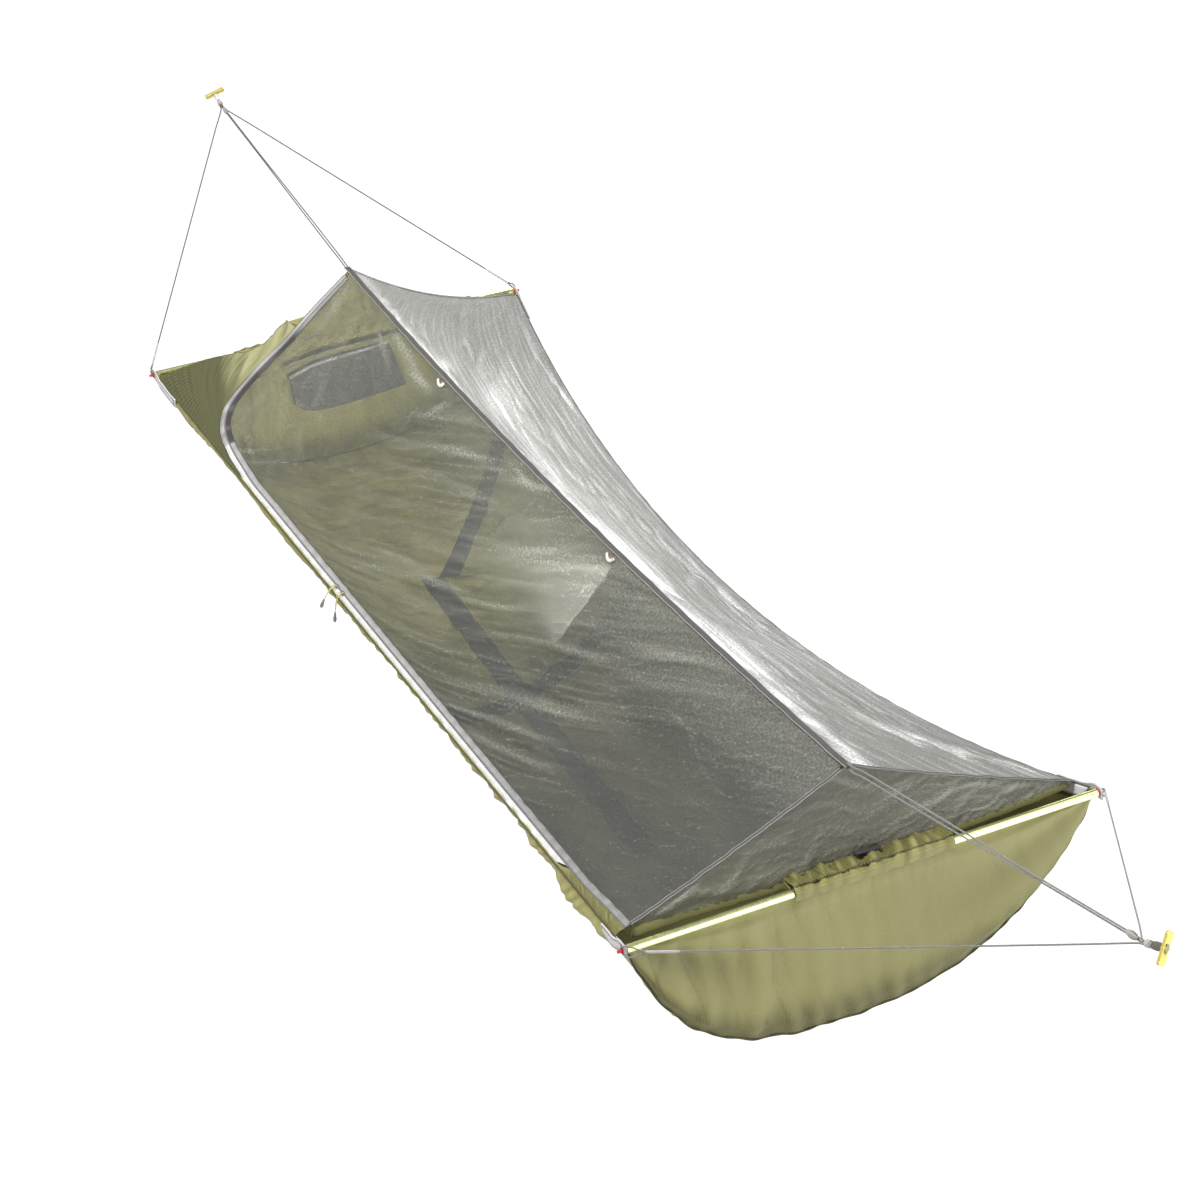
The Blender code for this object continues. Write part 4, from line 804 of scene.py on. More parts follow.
def wall_relief(y, z, depth, seed, sleeve):
    """Outward folds of an end wall and the painted light and shade on them: columns, gathers, and pulls from
    the corners.
    """
    sway = y + 0.020 * np.sin(z * 9 + 2 * y) + 0.008 * ripple(z, seed + 1, 0.20)
    columns = ripple(sway, seed, 0.105, 4)
    narrow = ripple(sway + 0.1 * z, seed + 2, 0.040, 4)
    pleat = creases(z, sway, seed + 9, 0.075, 0.0, 0.10, 4, 9.0)
    low, high = sleeve
    inside = smoothstep(low - 0.01, low + 0.02, y) * (1 - smoothstep(high - 0.02, high + 0.01, y))
    gathers = ripple(y + 0.15 * z, seed + 3, 0.020, 4) * inside * np.exp(z / 0.050)
    hem = ripple(y + 0.2 * z, seed + 8, 0.042, 4) * smoothstep(0.72, 0.97, depth)
    pulls = np.zeros_like(y)
    for corner in (-1, 1):
        reach = np.hypot(y - corner * 0.44, z)
        angle = np.arctan2(-z, np.abs(y - corner * 0.44))
        pulls = pulls + np.sin(angle * 8 + seed + 3 * reach) * np.exp(-((reach - 0.17) / 0.14) ** 2)
    still = smoothstep(0.0, 0.12, depth) * (1 - smoothstep(0.88, 1.0, depth))
    left = 1.0 - 0.65 * smoothstep(-0.25, 0.15, y)
    relief = (0.0022 * columns + 0.0012 * narrow) * left + 0.0048 * pulls - 0.0024 * pleat * left
    relief = (relief + 0.010) * still + 0.0016 * gathers * smoothstep(0.0, 0.05, depth)
    relief = relief + 0.0022 * hem * (1 - smoothstep(0.97, 1.0, depth))
    tuck = 0.0125 * inside * np.exp(-((z + 0.012) / 0.022) ** 2)
    # painted light and shade on the folds, and painted shade growing towards the bottom and towards the near
    # side, over a lighter tone for the whole wall
    tone = (0.06 * columns * left + 0.10 * narrow * left + 0.45 * pulls - 0.75 * pleat * left) * still
    tone = tone + 0.22 * hem + 0.2 * gathers - 1.35 * smoothstep(0.66, 0.98, depth)
    tone = tone - 0.65 * smoothstep(-0.18, -0.42, y) + 0.30
    return relief + tuck, tone


def build_end_wall(end, label, sleeve):
    a = np.linspace(-0.992, 0.992, 221)
    y, low_z = wall_outline(a, 0.0020 * ripple(a, 57, 0.12) - 0.0010)
    depth = np.linspace(0, 1, 91)[None, :]
    z = -0.003 + (low_z[:, None] + 0.003) * depth
    yy = np.broadcast_to(y[:, None], z.shape)
    seed = 50 if end > 0 else 70
    relief, tone = wall_relief(yy, z, depth * np.ones_like(z), seed, sleeve)
    points = vec(end * (END_X + 0.0010 + relief), yy, z)
    if end < 0:
        points, tone = points[::-1], tone[::-1]
    obj = cloth(f"{label}_wall_cloth", points, OLIVE, attributes={"fold_shade": tone})
    finish_piece(obj, replaces=[f"{label}_end_wall"])
    outline = np.linspace(-0.985, 0.985, 260)
    oy, oz = wall_outline(outline, 0.0022 * ripple(outline, 57, 0.12) + 0.0004)
    seam = vec(np.full_like(oy, end * (END_X + 0.0014)), oy, oz)
    seam[:, 0] += end * 0.0010 * ripple(outline, seed + 7, 0.06)
    swept(f"{label}_wall_binding", seam, flat_section(0.0036, 0.0022), SEAM_DARK, "dark_binding",
          hint=(end, 0, 0))


def build_sleeve(end, label, span, profile):
    """Gathered cloth over the pole; profile lists (offset outwards, height, looseness) round it."""
    y = np.linspace(span[0], span[1], 340 if end < 0 else 260)
    section = smooth_line(profile, 6)
    out0, up0, loose0 = section[None, :, 0], section[None, :, 1], np.clip(section[None, :, 2], 0, 1)
    seed = 90 if end > 0 else 110
    tight = ripple(y, seed, 0.019, 5)[:, None]
    wide = ripple(y, seed + 1, 0.050, 4)[:, None]
    fine = ripple(y, seed + 2, 0.009, 4)[:, None]
    weight = (1.15 - 0.5 * smoothstep(-0.02, 0.12, y))[:, None] * (0.85 if end > 0 else 0.45)
    spread = unit(np.gradient(section[:, :2], axis=0))
    side_out, side_up = spread[None, :, 1], -spread[None, :, 0]
    turn = np.where((out0 * side_out + up0 * side_up) < 0, -1.0, 1.0)
    patchy = (0.55 + 0.45 * ripple(y, seed + 3, 0.11))[:, None]
    sideways = ripple(y[:, None] + 0.5 * out0, seed + 4, 0.028, 4)
    ruffle = 0.0030 * tight * patchy + 0.0036 * wide + 0.0012 * fine + 0.0022 * sideways
    amount = (loose0 * ruffle * weight + 0.0006 * wide) * turn
    out, up = out0 + side_out * amount, up0 + side_up * amount
    inner = np.hypot(out, up)
    push = np.maximum(inner, POLE_R + 0.0009) / np.maximum(inner, 1e-6)
    points = vec(end * (POLE_X + out * push), np.broadcast_to(y[:, None], out.shape), up * push)
    # painted shade in the creases and over the loose upper part of the gathers, with painted light on the
    # ruffles
    tone = -1.3 * loose0 * (1 - np.abs(ripple(y[:, None] + 0.35 * out0, seed + 5, 0.045, 4))) ** 4 * weight
    tone = tone + 0.4 * tight * loose0 * patchy + 0.35 * sideways - 0.75 * loose0
    if end < 0:
        points, tone = points[::-1], tone[::-1]
    obj = cloth(f"{label}_sleeve_cloth", points, OLIVE, 0.0006, {"fold_shade": tone})
    finish_piece(obj, replaces=[f"{label}_pole_sleeve"])
    front, height = end * (POLE_X + profile[0][0] + 0.0010), profile[0][1] + 0.0016
    starts = np.arange(span[0] + 0.004, span[1] - 0.004, 0.0042)
    stitches = [((front, start, height), (front, start + 0.0028, height)) for start in starts]
    thread(f"{label}_sleeve_stitching", stitches, 0.00035, THREAD_PALE, "grey_cord")


def thread(name, dashes, radius, material_used, slot):
    """Stitches: one short closed prism for each pair of end points."""
    verts, faces = [], []
    for start, end in dashes:
        path = np.array([start, end], float)
        sides, ups = frames_along(path, (0.3, 0.2, 1.0))
        base = len(verts)
        for k in range(2):
            for c, s in circle(radius, 5):
                verts.append(path[k] + sides[k] * c + ups[k] * s)
        for k in range(5):
            faces.append((base + k, base + (k + 1) % 5, base + 5 + (k + 1) % 5, base + 5 + k))
        faces.append(tuple(base + k for k in range(4, -1, -1)))
        faces.append(tuple(base + 5 + k for k in range(5)))
    obj = new_object(name, np.array(verts), faces, material_used, np.zeros((len(verts), 2)))
    finish_piece(obj)


# ---- net panels
def streaked(name, points, lift, tones, material_used, replaces):
    """Net panel: its points lifted along their normals, with its tones of painted highlight, painted shade
    and cover.
    """
    shaped = points + normals_of(points) * lift[..., None]
    obj = cloth(name, shaped, material_used, 0.0004, tones)
    finish_piece(obj, replaces=replaces)


def border_fade(a, b):
    """0 along the seams and 1 away from them."""
    along, up = 0.04, 0.06
    return (smoothstep(0, along, a) * smoothstep(0, along, 1 - a)
            * smoothstep(0, up, b) * smoothstep(0, up, 1 - b))


def build_net_door():
    border = zip_side(ZIP_RIM - 0.0020) - ZIP_NORMALS * 0.0012
    turn = int(np.argmax((border[:, 0] > -0.93) & (border[:, 2] < 0.0)))
    top = ridge(np.linspace(0.004, 0.996, 60)) + np.array([0.0, -0.0050, -0.0022])
    left = np.concatenate([border[:turn + 1][::-1], top[:1]])
    bottom = border[turn:]
    right = hip(1, -1, np.linspace(0.02, 0.985, 30)) + np.array([-0.0020, 0.0, 0.0006])
    right = np.concatenate([bottom[-1:], right[1:-1], top[-1:]])
    points, a, b = coons(bottom, top, left, right, 340, 120, NET_SAG)
    x, q = points[..., 0], b * 0.42
    middle = smoothstep(-0.72, -0.45, x) * (1 - 0.75 * smoothstep(0.40, 0.85, x))
    pull = long_folds(x, q, 31, 0.046, math.radians(18), 34.0, 0.02, 3) * (0.08 + 0.92 * middle)
    thin = long_folds(x, q, 32, 0.015, math.radians(19), 90.0, 0.02, 3) * (0.15 + 0.85 * middle)
    head = long_folds(x, q, 33, 0.050, math.radians(-38), 9.0, 0.12, 3) * (1 - smoothstep(-0.85, -0.5, x))
    apex = fan(x, q, 34, (-1.10, 0.44), 10, 0.22, 6.0)
    turn_folds = fan(x, q, 35, (-1.00, 0.035), 5, 0.14, 2.0)
    hairs = creases(x, q, 36, 0.030, math.radians(62), 0.55, 6, 26.0)
    lines = creases(x, q, 37, 0.070, math.radians(12), 0.30, 4, 34.0)
    marks_and_highlights = patches(x, q, (
        ((-0.72, 0.395), 0.10, 0.010, -0.10, 1.0), ((-0.80, 0.372), 0.07, 0.006, -0.25, 0.7),
        ((-0.62, 0.380), 0.05, 0.007, 0.05, 0.8), ((-0.50, 0.374), 0.03, 0.009, 0.8, 0.7),
        ((-0.12, 0.398), 0.05, 0.006, 0.0, 0.6), ((-1.04, 0.36), 0.02, 0.07, 0.35, 0.5),
        ((-0.93, 0.33), 0.012, 0.07, 0.5, 0.35), ((0.02, 0.30), 0.16, 0.018, 0.38, 0.40),
        ((0.42, 0.16), 0.20, 0.016, 0.36, 0.40), ((-0.30, 0.10), 0.14, 0.014, 0.40, 0.45),
        ((-0.86, 0.03), 0.07, 0.008, 0.9, 0.55), ((-0.80, 0.05), 0.06, 0.006, 0.8, 0.45)))
    ragged = 0.55 + 0.45 * ripple(x * 0.8 + q, 38, 0.012) * ripple(q - 0.4 * x, 39, 0.020)
    # painted highlight: the thread is lightened on the folds' lit flanks, on the apex fan, at the head, near
    # the ridge and in the listed patches; painted shade: darkened on their other flanks, round the zip's turn
    # and towards the foot
    light = 0.34 * np.clip(pull, 0, 2) + 0.20 * np.clip(thin, 0, 2) + 0.14 * np.clip(head, 0, 2)
    light = light + 0.9 * apex
    light = light + 0.26 * (1 - smoothstep(-0.95, -0.55, x)) - 0.05 * smoothstep(0.3, 0.8, x)
    light = light + 0.26 * smoothstep(0.50, 0.95, b) * smoothstep(-0.9, -0.3, x)
    crease_highlight = light * (0.75 + 0.5 * ragged) + 1.2 * marks_and_highlights * ragged + 0.60 * hairs + 0.55 * lines
    shade = 0.60 * np.clip(-pull, 0, 2) + 0.30 * np.clip(-thin, 0, 2) + 0.25 * np.clip(-head, 0, 2)
    shade = shade + 0.9 * turn_folds + 0.55 * patch(x, q, (-0.98, 0.03), 0.10, 0.05, 0.0)
    shade = shade + 0.45 * smoothstep(0.25, 0.95, x) - 0.25 * (1 - smoothstep(-0.9, -0.5, x))
    cover = 0.10 + 0.17 * smoothstep(-0.35, 0.70, x) - 0.15 * (1 - smoothstep(-0.95, -0.5, x))
    lift = (0.0045 * pull + 0.0012 * thin + 0.0030 * head + 0.0040 * apex + 0.0025 * turn_folds
            + 0.0030 * ripple(x, 40, 0.35) * np.sin(np.pi * b)) * border_fade(a, b)
    tones = {"crease_highlight": crease_highlight, "shade": shade, "cover": cover}
    streaked("net_door_panel", points, lift, tones, NET_DOOR, ["net_door"])


def build_net_far():
    bottom = edge(np.linspace(-1.178, 1.150, 90), 1) + np.array([0.0, -0.0010, 0.0030])
    top = ridge(np.linspace(0.004, 0.996, 60)) + np.array([0.0, 0.0050, -0.0022])
    left = hip(-1, 1, np.linspace(0.01, 0.985, 30)) + np.array([0.0015, 0.0, 0.0])
    right = hip(1, 1, np.linspace(0.01, 0.985, 30)) + np.array([-0.0020, 0.0, 0.0006])
    left = np.concatenate([bottom[:1], left[1:-1], top[:1]])
    right = np.concatenate([bottom[-1:], right[1:-1], top[-1:]])
    points, a, b = coons(bottom, top, left, right, 340, 150, NET_SAG)
    x, q = points[..., 0], b * 0.42
    tilt = q * (1 + 0.30 / (x + 1.30) + 0.10 / (1.32 - x))
    lines = long_folds(x, tilt, 41, 0.036, 0.0, 30.0, 0.012, 3)
    fine = long_folds(x, tilt, 42, 0.014, 0.0, 60.0, 0.008, 3)
    broad = long_folds(x, tilt, 43, 0.110, math.radians(3), 9.0, 0.04, 2)
    head = fan(x, q, 44, (-1.19, 0.0), 14, 0.30, 3.0)
    foot = fan(x, q, 45, (1.17, 0.0), 16, 0.40, 3.0)
    beside = np.exp(-((b - 0.93) / 0.045) ** 2)
    marks_and_highlights = patches(x, q, (
        ((-0.66, 0.230), 0.16, 0.040, 0.45, 0.6), ((-0.34, 0.26), 0.22, 0.035, 0.20, 0.5),
        ((0.62, 0.33), 0.22, 0.045, 0.10, 0.9), ((0.95, 0.12), 0.14, 0.030, -0.3, 0.8),
        ((-0.72, 0.34), 0.07, 0.020, 0.6, 0.6), ((0.10, 0.36), 0.25, 0.02, 0.0, 0.5)))
    weight = smoothstep(-1.15, -0.70, x)
    calm = 0.18 + 0.82 * weight
    # painted highlight: the thread is lightened along the folds, on the fans from the corners, in the listed
    # patches and in a band beside the ridge; painted shade: darkened on the folds' other flanks, at the head,
    # towards the foot, along the bottom edge and away from the ridge
    crease_highlight = (0.42 * np.clip(lines, 0, 2) + 0.34 * np.clip(fine, 0, 2) + 0.24 * np.clip(broad, 0, 2)) * calm
    crease_highlight = crease_highlight + 0.15 * head + 0.25 * foot + marks_and_highlights * (0.7 + 0.4 * lines) + 0.10
    crease_highlight = crease_highlight - 0.20 * smoothstep(0.45, 1.0, x)
    crease_highlight = crease_highlight + beside * (0.25 + 0.50 * weight) * (0.8 + 0.3 * ripple(x, 47, 0.10))
    shade = (0.42 * np.clip(-lines, 0, 2) + 0.30 * np.clip(-fine, 0, 2) + 0.16 * np.clip(-broad, 0, 2)) * calm
    shade = shade + 0.45 * patch(x, q, (-0.99, 0.16), 0.14, 0.14, 0.0) + 0.6 * np.exp(-(b / 0.035) ** 2)
    shade = shade + 0.5 * patch(x, q, (-1.15, 0.0), 0.06, 0.05, 0.0)
    lift = (0.0034 * lines + 0.0010 * fine + 0.0048 * broad + 0.0025 * head + 0.0030 * foot
            + 0.0040 * ripple(x, 46, 0.40) * np.sin(np.pi * b)) * border_fade(a, b)
    shade = shade + 0.22 * (1 - smoothstep(-1.05, -0.75, x)) + 0.25 * smoothstep(0.55, 1.0, x)
    shade = shade + 0.24 * weight * (1 - smoothstep(0.10, 0.60, b)) * (0.5 + 0.9 * np.clip(-lines, 0, 1))
    cover = 0.06 * beside
    tones = {"crease_highlight": crease_highlight, "shade": shade, "cover": cover}
    streaked("net_far_panel", points, lift, tones, NET_FAR, ["net_far"])


def end_panel(end, low_s, bulge, drop=0.0):
    """Grid between the two hips of an end; rows run from near to far and columns go up."""
    v = np.linspace(0, 1, 161)[:, None]
    s = np.linspace(0, 1, 71)[None, :]
    start = low_s[0] + (low_s[1] - low_s[0]) * np.sin(np.pi * v) ** 0.7
    share = start + (0.985 - start) * s
    near, far = hip(end, -1, share), hip(end, 1, share)
    points = near + (far - near) * v[..., None]
    hang = np.sin(np.pi * v) ** 0.5 * (1 - s) ** 1.4
    points[..., 0] += end * bulge * hang
    points[..., 2] -= drop * hang
    return points, v * np.ones_like(s), s * np.ones_like(v)


def build_foot_net():
    points, v, s = end_panel(1, (0.015, 0.020), 0.013, 0.011)
    y = points[..., 1]
    q = s * 0.16
    broad = long_folds(y, q, 61, 0.050, math.radians(6), 7.0, 0.12, 3)
    thin = long_folds(y, q, 62, 0.016, math.radians(4), 14.0, 0.10, 3)
    near = fan(y, q, 63, (-0.43, 0.0), 9, 0.25, 4.0)
    far = fan(y, q, 64, (0.43, 0.0), 9, 0.25, 4.0)
    hem_folds = ripple(y, 65, 0.018) * np.exp(-s / 0.10)
    # painted highlight along the folds, on the fans from the corners and over the far half; painted shade on
    # the folds' other flanks and on the hem's gathers
    crease_highlight = (0.40 * np.clip(broad, 0, 2) + 0.28 * np.clip(thin, 0, 2) + 0.3 * near + 0.45 * far
              + 0.6 * smoothstep(0.0, 0.35, y) * np.clip(thin + 0.7, 0, 2) + 0.20)
    shade = 0.45 * np.clip(-broad, 0, 2) + 0.25 * np.clip(-thin, 0, 2) + 0.5 * np.clip(hem_folds, 0, 1)
    lift = (0.0030 * broad + 0.0010 * thin + 0.0022 * near + 0.0022 * far) * border_fade(v, s)
    lift = lift + 0.0012 * hem_folds
    tones = {"crease_highlight": crease_highlight, "shade": shade, "cover": 0.04 * smoothstep(-0.1, 0.4, y)}
    streaked("net_foot_panel", points, lift, tones, NET_FOOT, ["net_foot"])
    for label, low, high in (("near", -0.428, FOOT_SLEEVE_Y[0] + 0.004),
                             ("far", FOOT_SLEEVE_Y[1] - 0.004, 0.420)):
        row = points[:, 0] + np.array([0.0014, 0.0, -0.0030])
        row = row[(row[:, 1] > low) & (row[:, 1] < high)]
        corner = np.exp(-((np.abs(row[:, 1]) - 0.43) / 0.07) ** 2) * (row[:, 1] < 0)
        wave = 0.0008 * ripple(row[:, 1], 66, 0.05)
        row = row + (corner[:, None] * np.array([0.0040, 0.0, -0.0060])) + UP * wave[:, None]
        swept(f"net_foot_hem_{label}", row, flat_section(0.0120, 0.0018), OLIVE_BINDING, "body_cloth",
              hint=(0.86, 0, 0.5), scale=1 + 0.5 * corner)


def head_near_rim(shares):
    """Near border of the head panel: behind the gusset's free edge, and then behind the zip."""
    corner = HEAD_CORNER * TO_NEAR_SIDE
    border = zip_side(-ZIP_RIM)[::-1]
    free = [mix(corner, RIDGE_HEAD, share) - UP * sag for share, sag in HEAD_GUSSET_EDGE]
    rest = border[(border[:, 0] < ZIP_ARC_X[0]) & (border[:, 2] > free[-1][2] + 0.004)]
    return resample(np.concatenate([free, rest]) + np.array([-0.0060, 0.0, -0.0060]), shares)


def build_head_panel():
    points, v, s = end_panel(-1, (0.020, 0.055), 0.016)
    near_gap = head_near_rim(s[0]) - points[0]
    points = points + near_gap[None] * ((1 - v) ** 3)[..., None]
    y = points[..., 1]
    q = s * 0.2
    folds = fan(y, q, 66, (-0.44, 0.0), 7, 0.3, 3.0) + fan(y, q, 67, (0.44, 0.0), 7, 0.3, 3.0)
    wave = long_folds(y, q, 68, 0.06, 1.3, 5.0, 0.3)
    lift = (0.0045 * folds + 0.0030 * wave) * border_fade(v, s)
    shaped = points + normals_of(points) * lift[..., None]
    # painted light and shade on the fans and the wave of folds
    obj = cloth("head_panel_cloth", shaped, OLIVE, attributes={"fold_shade": 0.4 * wave + 0.3 * folds})
    finish_piece(obj, replaces=["head_upper_panel"])
    swept("head_panel_hem", points[:, 0], flat_section(0.0080, 0.0022), OLIVE_BINDING, "body_cloth",
          hint=(-1, 0, 0.2))


def build_head_gusset():
    """Crinkled olive cloth between the zip, the near edge and its own sagging free edge."""
    border = zip_side(-(ZIP_RIM - 0.0015)) - ZIP_NORMALS * 0.0012
    last = int(np.argmax((border[:, 0] > -0.80) & (border[:, 2] < 0.0)))
    corner = HEAD_CORNER * TO_NEAR_SIDE
    low = edge(np.linspace(-1.182, border[last, 0], 40), -1) + ZIP_AXIS * 0.0006
    free = [mix(corner, RIDGE_HEAD, share) - UP * sag for share, sag in HEAD_GUSSET_EDGE]
    left = smooth_line([low[0]] + free[1:], 10)
    meet = int(np.argmax(border[:, 2] < left[-1, 2] + 0.004))
    right = np.concatenate([low[-1:], border[meet:last + 1][::-1]])
    top = np.array([left[-1], right[-1]])
    points, a, b = coons(low, top, left, right, 120, 200)
    x, y = points[..., 0], points[..., 1]
    rays = fan(x, y, 71, (-1.19, -0.445), 4, 0.30, 1.2)
    crinkle = ripple(b + 0.12 * a, 72, 0.130, 4)
    tuck = ripple(b + 0.30 * a, 73, 0.050, 4)
    loose = smoothstep(0.10, 0.9, b) * (1 - smoothstep(0.35, 1.0, a))
    lift = 0.0050 * rays + 0.0065 * crinkle * loose + 0.0024 * tuck * np.exp(-a / 0.20)
    lift = lift * smoothstep(0, 0.06, b) * smoothstep(0, 0.12, 1 - a) * (0.30 + 0.70 * smoothstep(0, 0.18, a))
    # painted light and shade on the rays and crinkles, painted shade over the lower part, and painted light
    # over the upper part and along the free edge
    tone = 0.5 * (rays - 0.5) + 0.75 * crinkle * loose + 0.30 * tuck * loose
    tone = tone - 1.25 * (1 - smoothstep(0.30, 0.66, b)) + 1.1 * smoothstep(0.45, 0.8, b)
    tone = tone + 0.3 * np.exp(-a / 0.04)
    shaped = points + normals_of(points) * lift[..., None]
    obj = cloth("head_gusset_cloth", shaped, OLIVE_SHADE, attributes={"fold_shade": tone})
    finish_piece(obj, replaces=["head_gusset"])
    swept("head_gusset_hem", shaped[0] + np.array([-0.0004, 0, 0.0004]), flat_section(0.0030, 0.0014),
          OLIVE_BINDING, "body_cloth", hint=(-1, 0, 0.3))


def build_edge_strip():
    """Olive strip between the near edge and the zip, gathered past the end of the zip's outer tape."""
    keep = (ZIP_POINTS[:, 0] > -0.80) & (ZIP_POINTS[:, 2] < 0.05) & (np.arange(len(ZIP_POINTS)) > 60)
    covered = (zip_side(-(ZIP_RIM - 0.0020)) - ZIP_NORMALS * 0.0012)[keep]
    open_line = (zip_side(-ZIP_HALF) - ZIP_NORMALS * 0.0004)[keep]
    bare = smoothstep(OUTER_TAPE_END_X - 0.03, OUTER_TAPE_END_X + 0.02, covered[:, 0])
    border = resample(mixv(covered, open_line, bare), np.linspace(0, 1, 520))
    low = edge(np.minimum(border[:, 0], 1.178), -1)
    b = np.linspace(0, 1, 26)[None, :]
    grid = mixv(low[:, None], border[:, None], b)
    out = unit(-unit(low - ZIP_CENTRE) * 0.9 + ZIP_AXIS * 0.3)
    x = grid[..., 0]
    loose = smoothstep(OUTER_TAPE_END_X - 0.05, OUTER_TAPE_END_X + 0.06, x)
    wave = ripple(x + 0.045 * b, 81, 0.022, 5) * (0.5 + 0.5 * ripple(x, 82, 0.07))
    tucks = creases(x, 0.045 * b + 0 * x, 83, 0.030, math.radians(-58), 0.5, 5, 12.0)
    belly = np.sin(np.pi * np.clip(b, 0, 1)) ** 0.7
    rise = (0.0008 + 0.0014 * loose) * wave + 0.0008 + 0.0060 * loose * (1 - smoothstep(1.10, 1.17, x))
    grid = grid + out[:, None] * (rise * belly)[..., None]
    # painted light and shade on the wave, and painted shade over the gathered part past the outer tape and in
    # its tucks
    tone = 0.50 * wave * (0.4 + 0.6 * loose) - 0.75 * loose - 0.9 * loose * tucks
    obj = cloth("near_edge_strip", grid, OLIVE, 0.0006, {"fold_shade": tone})
    finish_piece(obj)


# ---- bindings, webbing and bands
def build_bindings():
    t = np.linspace(-0.003, 1.003, 160)
    line = ridge(t) + vec(0 * t, 0.0006 * ripple(t, 91, 0.05), 0.0006 * ripple(t, 92, 0.04))
    swept("ridge_tape", line, flat_section(0.0115, 0.0030), DARK_BINDING, "dark_binding",
          replaces=["ridge_binding"], hint=(0, 0, 1))
    for label, offset, radius in (("near", -0.0062, 0.0011), ("far", 0.0060, 0.0008)):
        swept(f"ridge_piping_{label}", line + np.array([0.0, offset, 0.0006]), circle(radius, 8), PIPING,
              "grey_webbing")
    for side, label in SIDE_WORD.items():
        s = np.linspace(0.015, 0.972, 70)
        path = hip(1, side, s) + UP * 0.0008
        path[:, 2] += 0.0008 * ripple(s, 93 + side, 0.12)
        pipes = []
        for k, shift in enumerate((-0.0030, 0.0030)):
            row = path + np.array([shift, 0.0, 0.0003])
            pipes.append(sweep(f"pipe_{k}", row, circle(0.0010, 8), PIPING))
        finish_piece(joined(f"foot_hip_piping_{label}", pipes))
        swept(f"foot_hip_tape_{label}", path - UP * 0.0004, flat_section(0.0070, 0.0014), DARK_BINDING,
              "dark_binding", replaces=[f"foot_hip_binding_{label}"], hint=(0, 0, 1))
    path = hip(-1, 1, np.linspace(0.01, 0.985, 60)) + UP * 0.0012
    swept("head_hip_piping_far", path, circle(0.0022, 8), PIPING, "grey_webbing")


def build_edge_webbing():
    for side, label in SIDE_WORD.items():
        x = np.linspace(-1.182, 1.182, 240)
        base = trough(x, side * 0.999, -0.0016)
        lower = trough(x, side * (1 - 0.020 / 0.55), -0.0018)
        grid = mix(base[:, None], lower[:, None], np.linspace(0, 1, 5)[None, :, None])
        tape = cloth(f"{label}_edge_tape", grid, LIGHT_WEBBING, 0.0012)
        finish_piece(tape, replaces=[f"{label}_edge_webbing"])
        piped = edge(x, side) + np.array([0.0, side * 0.0008, 0.0008])
        piped[:, 2] += 0.0006 * ripple(x, 97, 0.08)
        swept(f"{label}_edge_piping", piped, circle(0.0016, 8), SEAM_DARK if side < 0 else DARK_BINDING,
              "dark_binding")


def build_band(name, start, end, width, node, lift):
    direction = unit(np.array(end, float) - np.array(start, float))
    normal = np.array([-direction[1], direction[0]])
    t = np.linspace(0, 1, 90)
    offsets = np.linspace(-width / 2, width / 2, 9)
    middle = mix(np.array(start)[None], np.array(end)[None], t[:, None])
    plan = middle[:, None] + normal * offsets[None, :, None]
    x, y = plan[..., 0], plan[..., 1]
    across = across_at(x, y)
    points = trough(x, across, body_bulge(x, across)[0] - 0.0012 - lift)
    obj = cloth(name, points, BAND_CLOTH, 0.0007)
    finish_piece(obj, replaces=[node])


def build_bands():
    build_band("spine_tape", (-0.590, -0.049), (0.56, -0.098), 0.050, "spine_band", 0.0)
    build_band("head_diagonal_tape", (-0.578, -0.016), (-0.945, 0.280), 0.040, "head_band", 0.0)
    build_band("cross_tape", (0.02, -0.250), (-0.22, 0.270), 0.045, "cross_band", 0.0016)


def build_pocket():
    """Pocket on the head wall: a flat panel with a slack, bound mouth and a flat elastic band above it."""
    wall_x = -(END_X - 0.0012)
    top = smooth_line([(-0.137, 0, -0.078), (-0.068, 0, -0.056), (0.02, 0, -0.050), (0.114, 0, -0.046)], 12)
    low = smooth_line([(-0.130, 0, -0.150), (-0.094, 0, -0.174), (0.03, 0, -0.176), (0.150, 0, -0.166)], 12)
    a = np.linspace(0, 1, 80)
    upper, lower = resample(top, a), resample(low, a)
    b = np.linspace(0, 1, 36)
    grid = mix(lower[:, None], upper[:, None], b[None, :, None])
    y, z = grid[..., 0], grid[..., 2]
    slack = np.sin(np.pi * a)[:, None] * (b[None] ** 1.5)
    out = 0.0012 + 0.0075 * slack + 0.0008 * ripple(y, 101, 0.05) * np.sin(np.pi * b)[None]
    points = vec(wall_x + out, y, z)
    # painted highlight where the pocket's slack cloth bulges out
    panel = cloth("head_pocket_panel", points, POCKET_MESH, 0.0006, {"crease_highlight": 0.3 + 0.4 * slack})
    finish_piece(panel, replaces=["head_pocket"])
    swept("head_pocket_binding", points[:, -1], flat_section(0.0075, 0.0020), GREY_TAPE, "grey_webbing",
          hint=(1, 0, 0))
    span = smooth_line([(wall_x + 0.003, -0.146, -0.050), (wall_x + 0.007, -0.048, -0.036),
                        (wall_x + 0.007, 0.060, -0.033), (wall_x + 0.003, 0.150, -0.033)], 16)
    swept("head_elastic_band", span, flat_section(0.0120, 0.0016), OLIVE_BINDING, "body_cloth",
          hint=(1, 0, 0))
    for word, rise in (("top", 0.0060), ("low", -0.0060)):
        swept(f"head_elastic_edge_{word}", span + np.array([0.0006, 0.0, rise]), circle(0.0012, 6), PIPING,
              "grey_webbing")


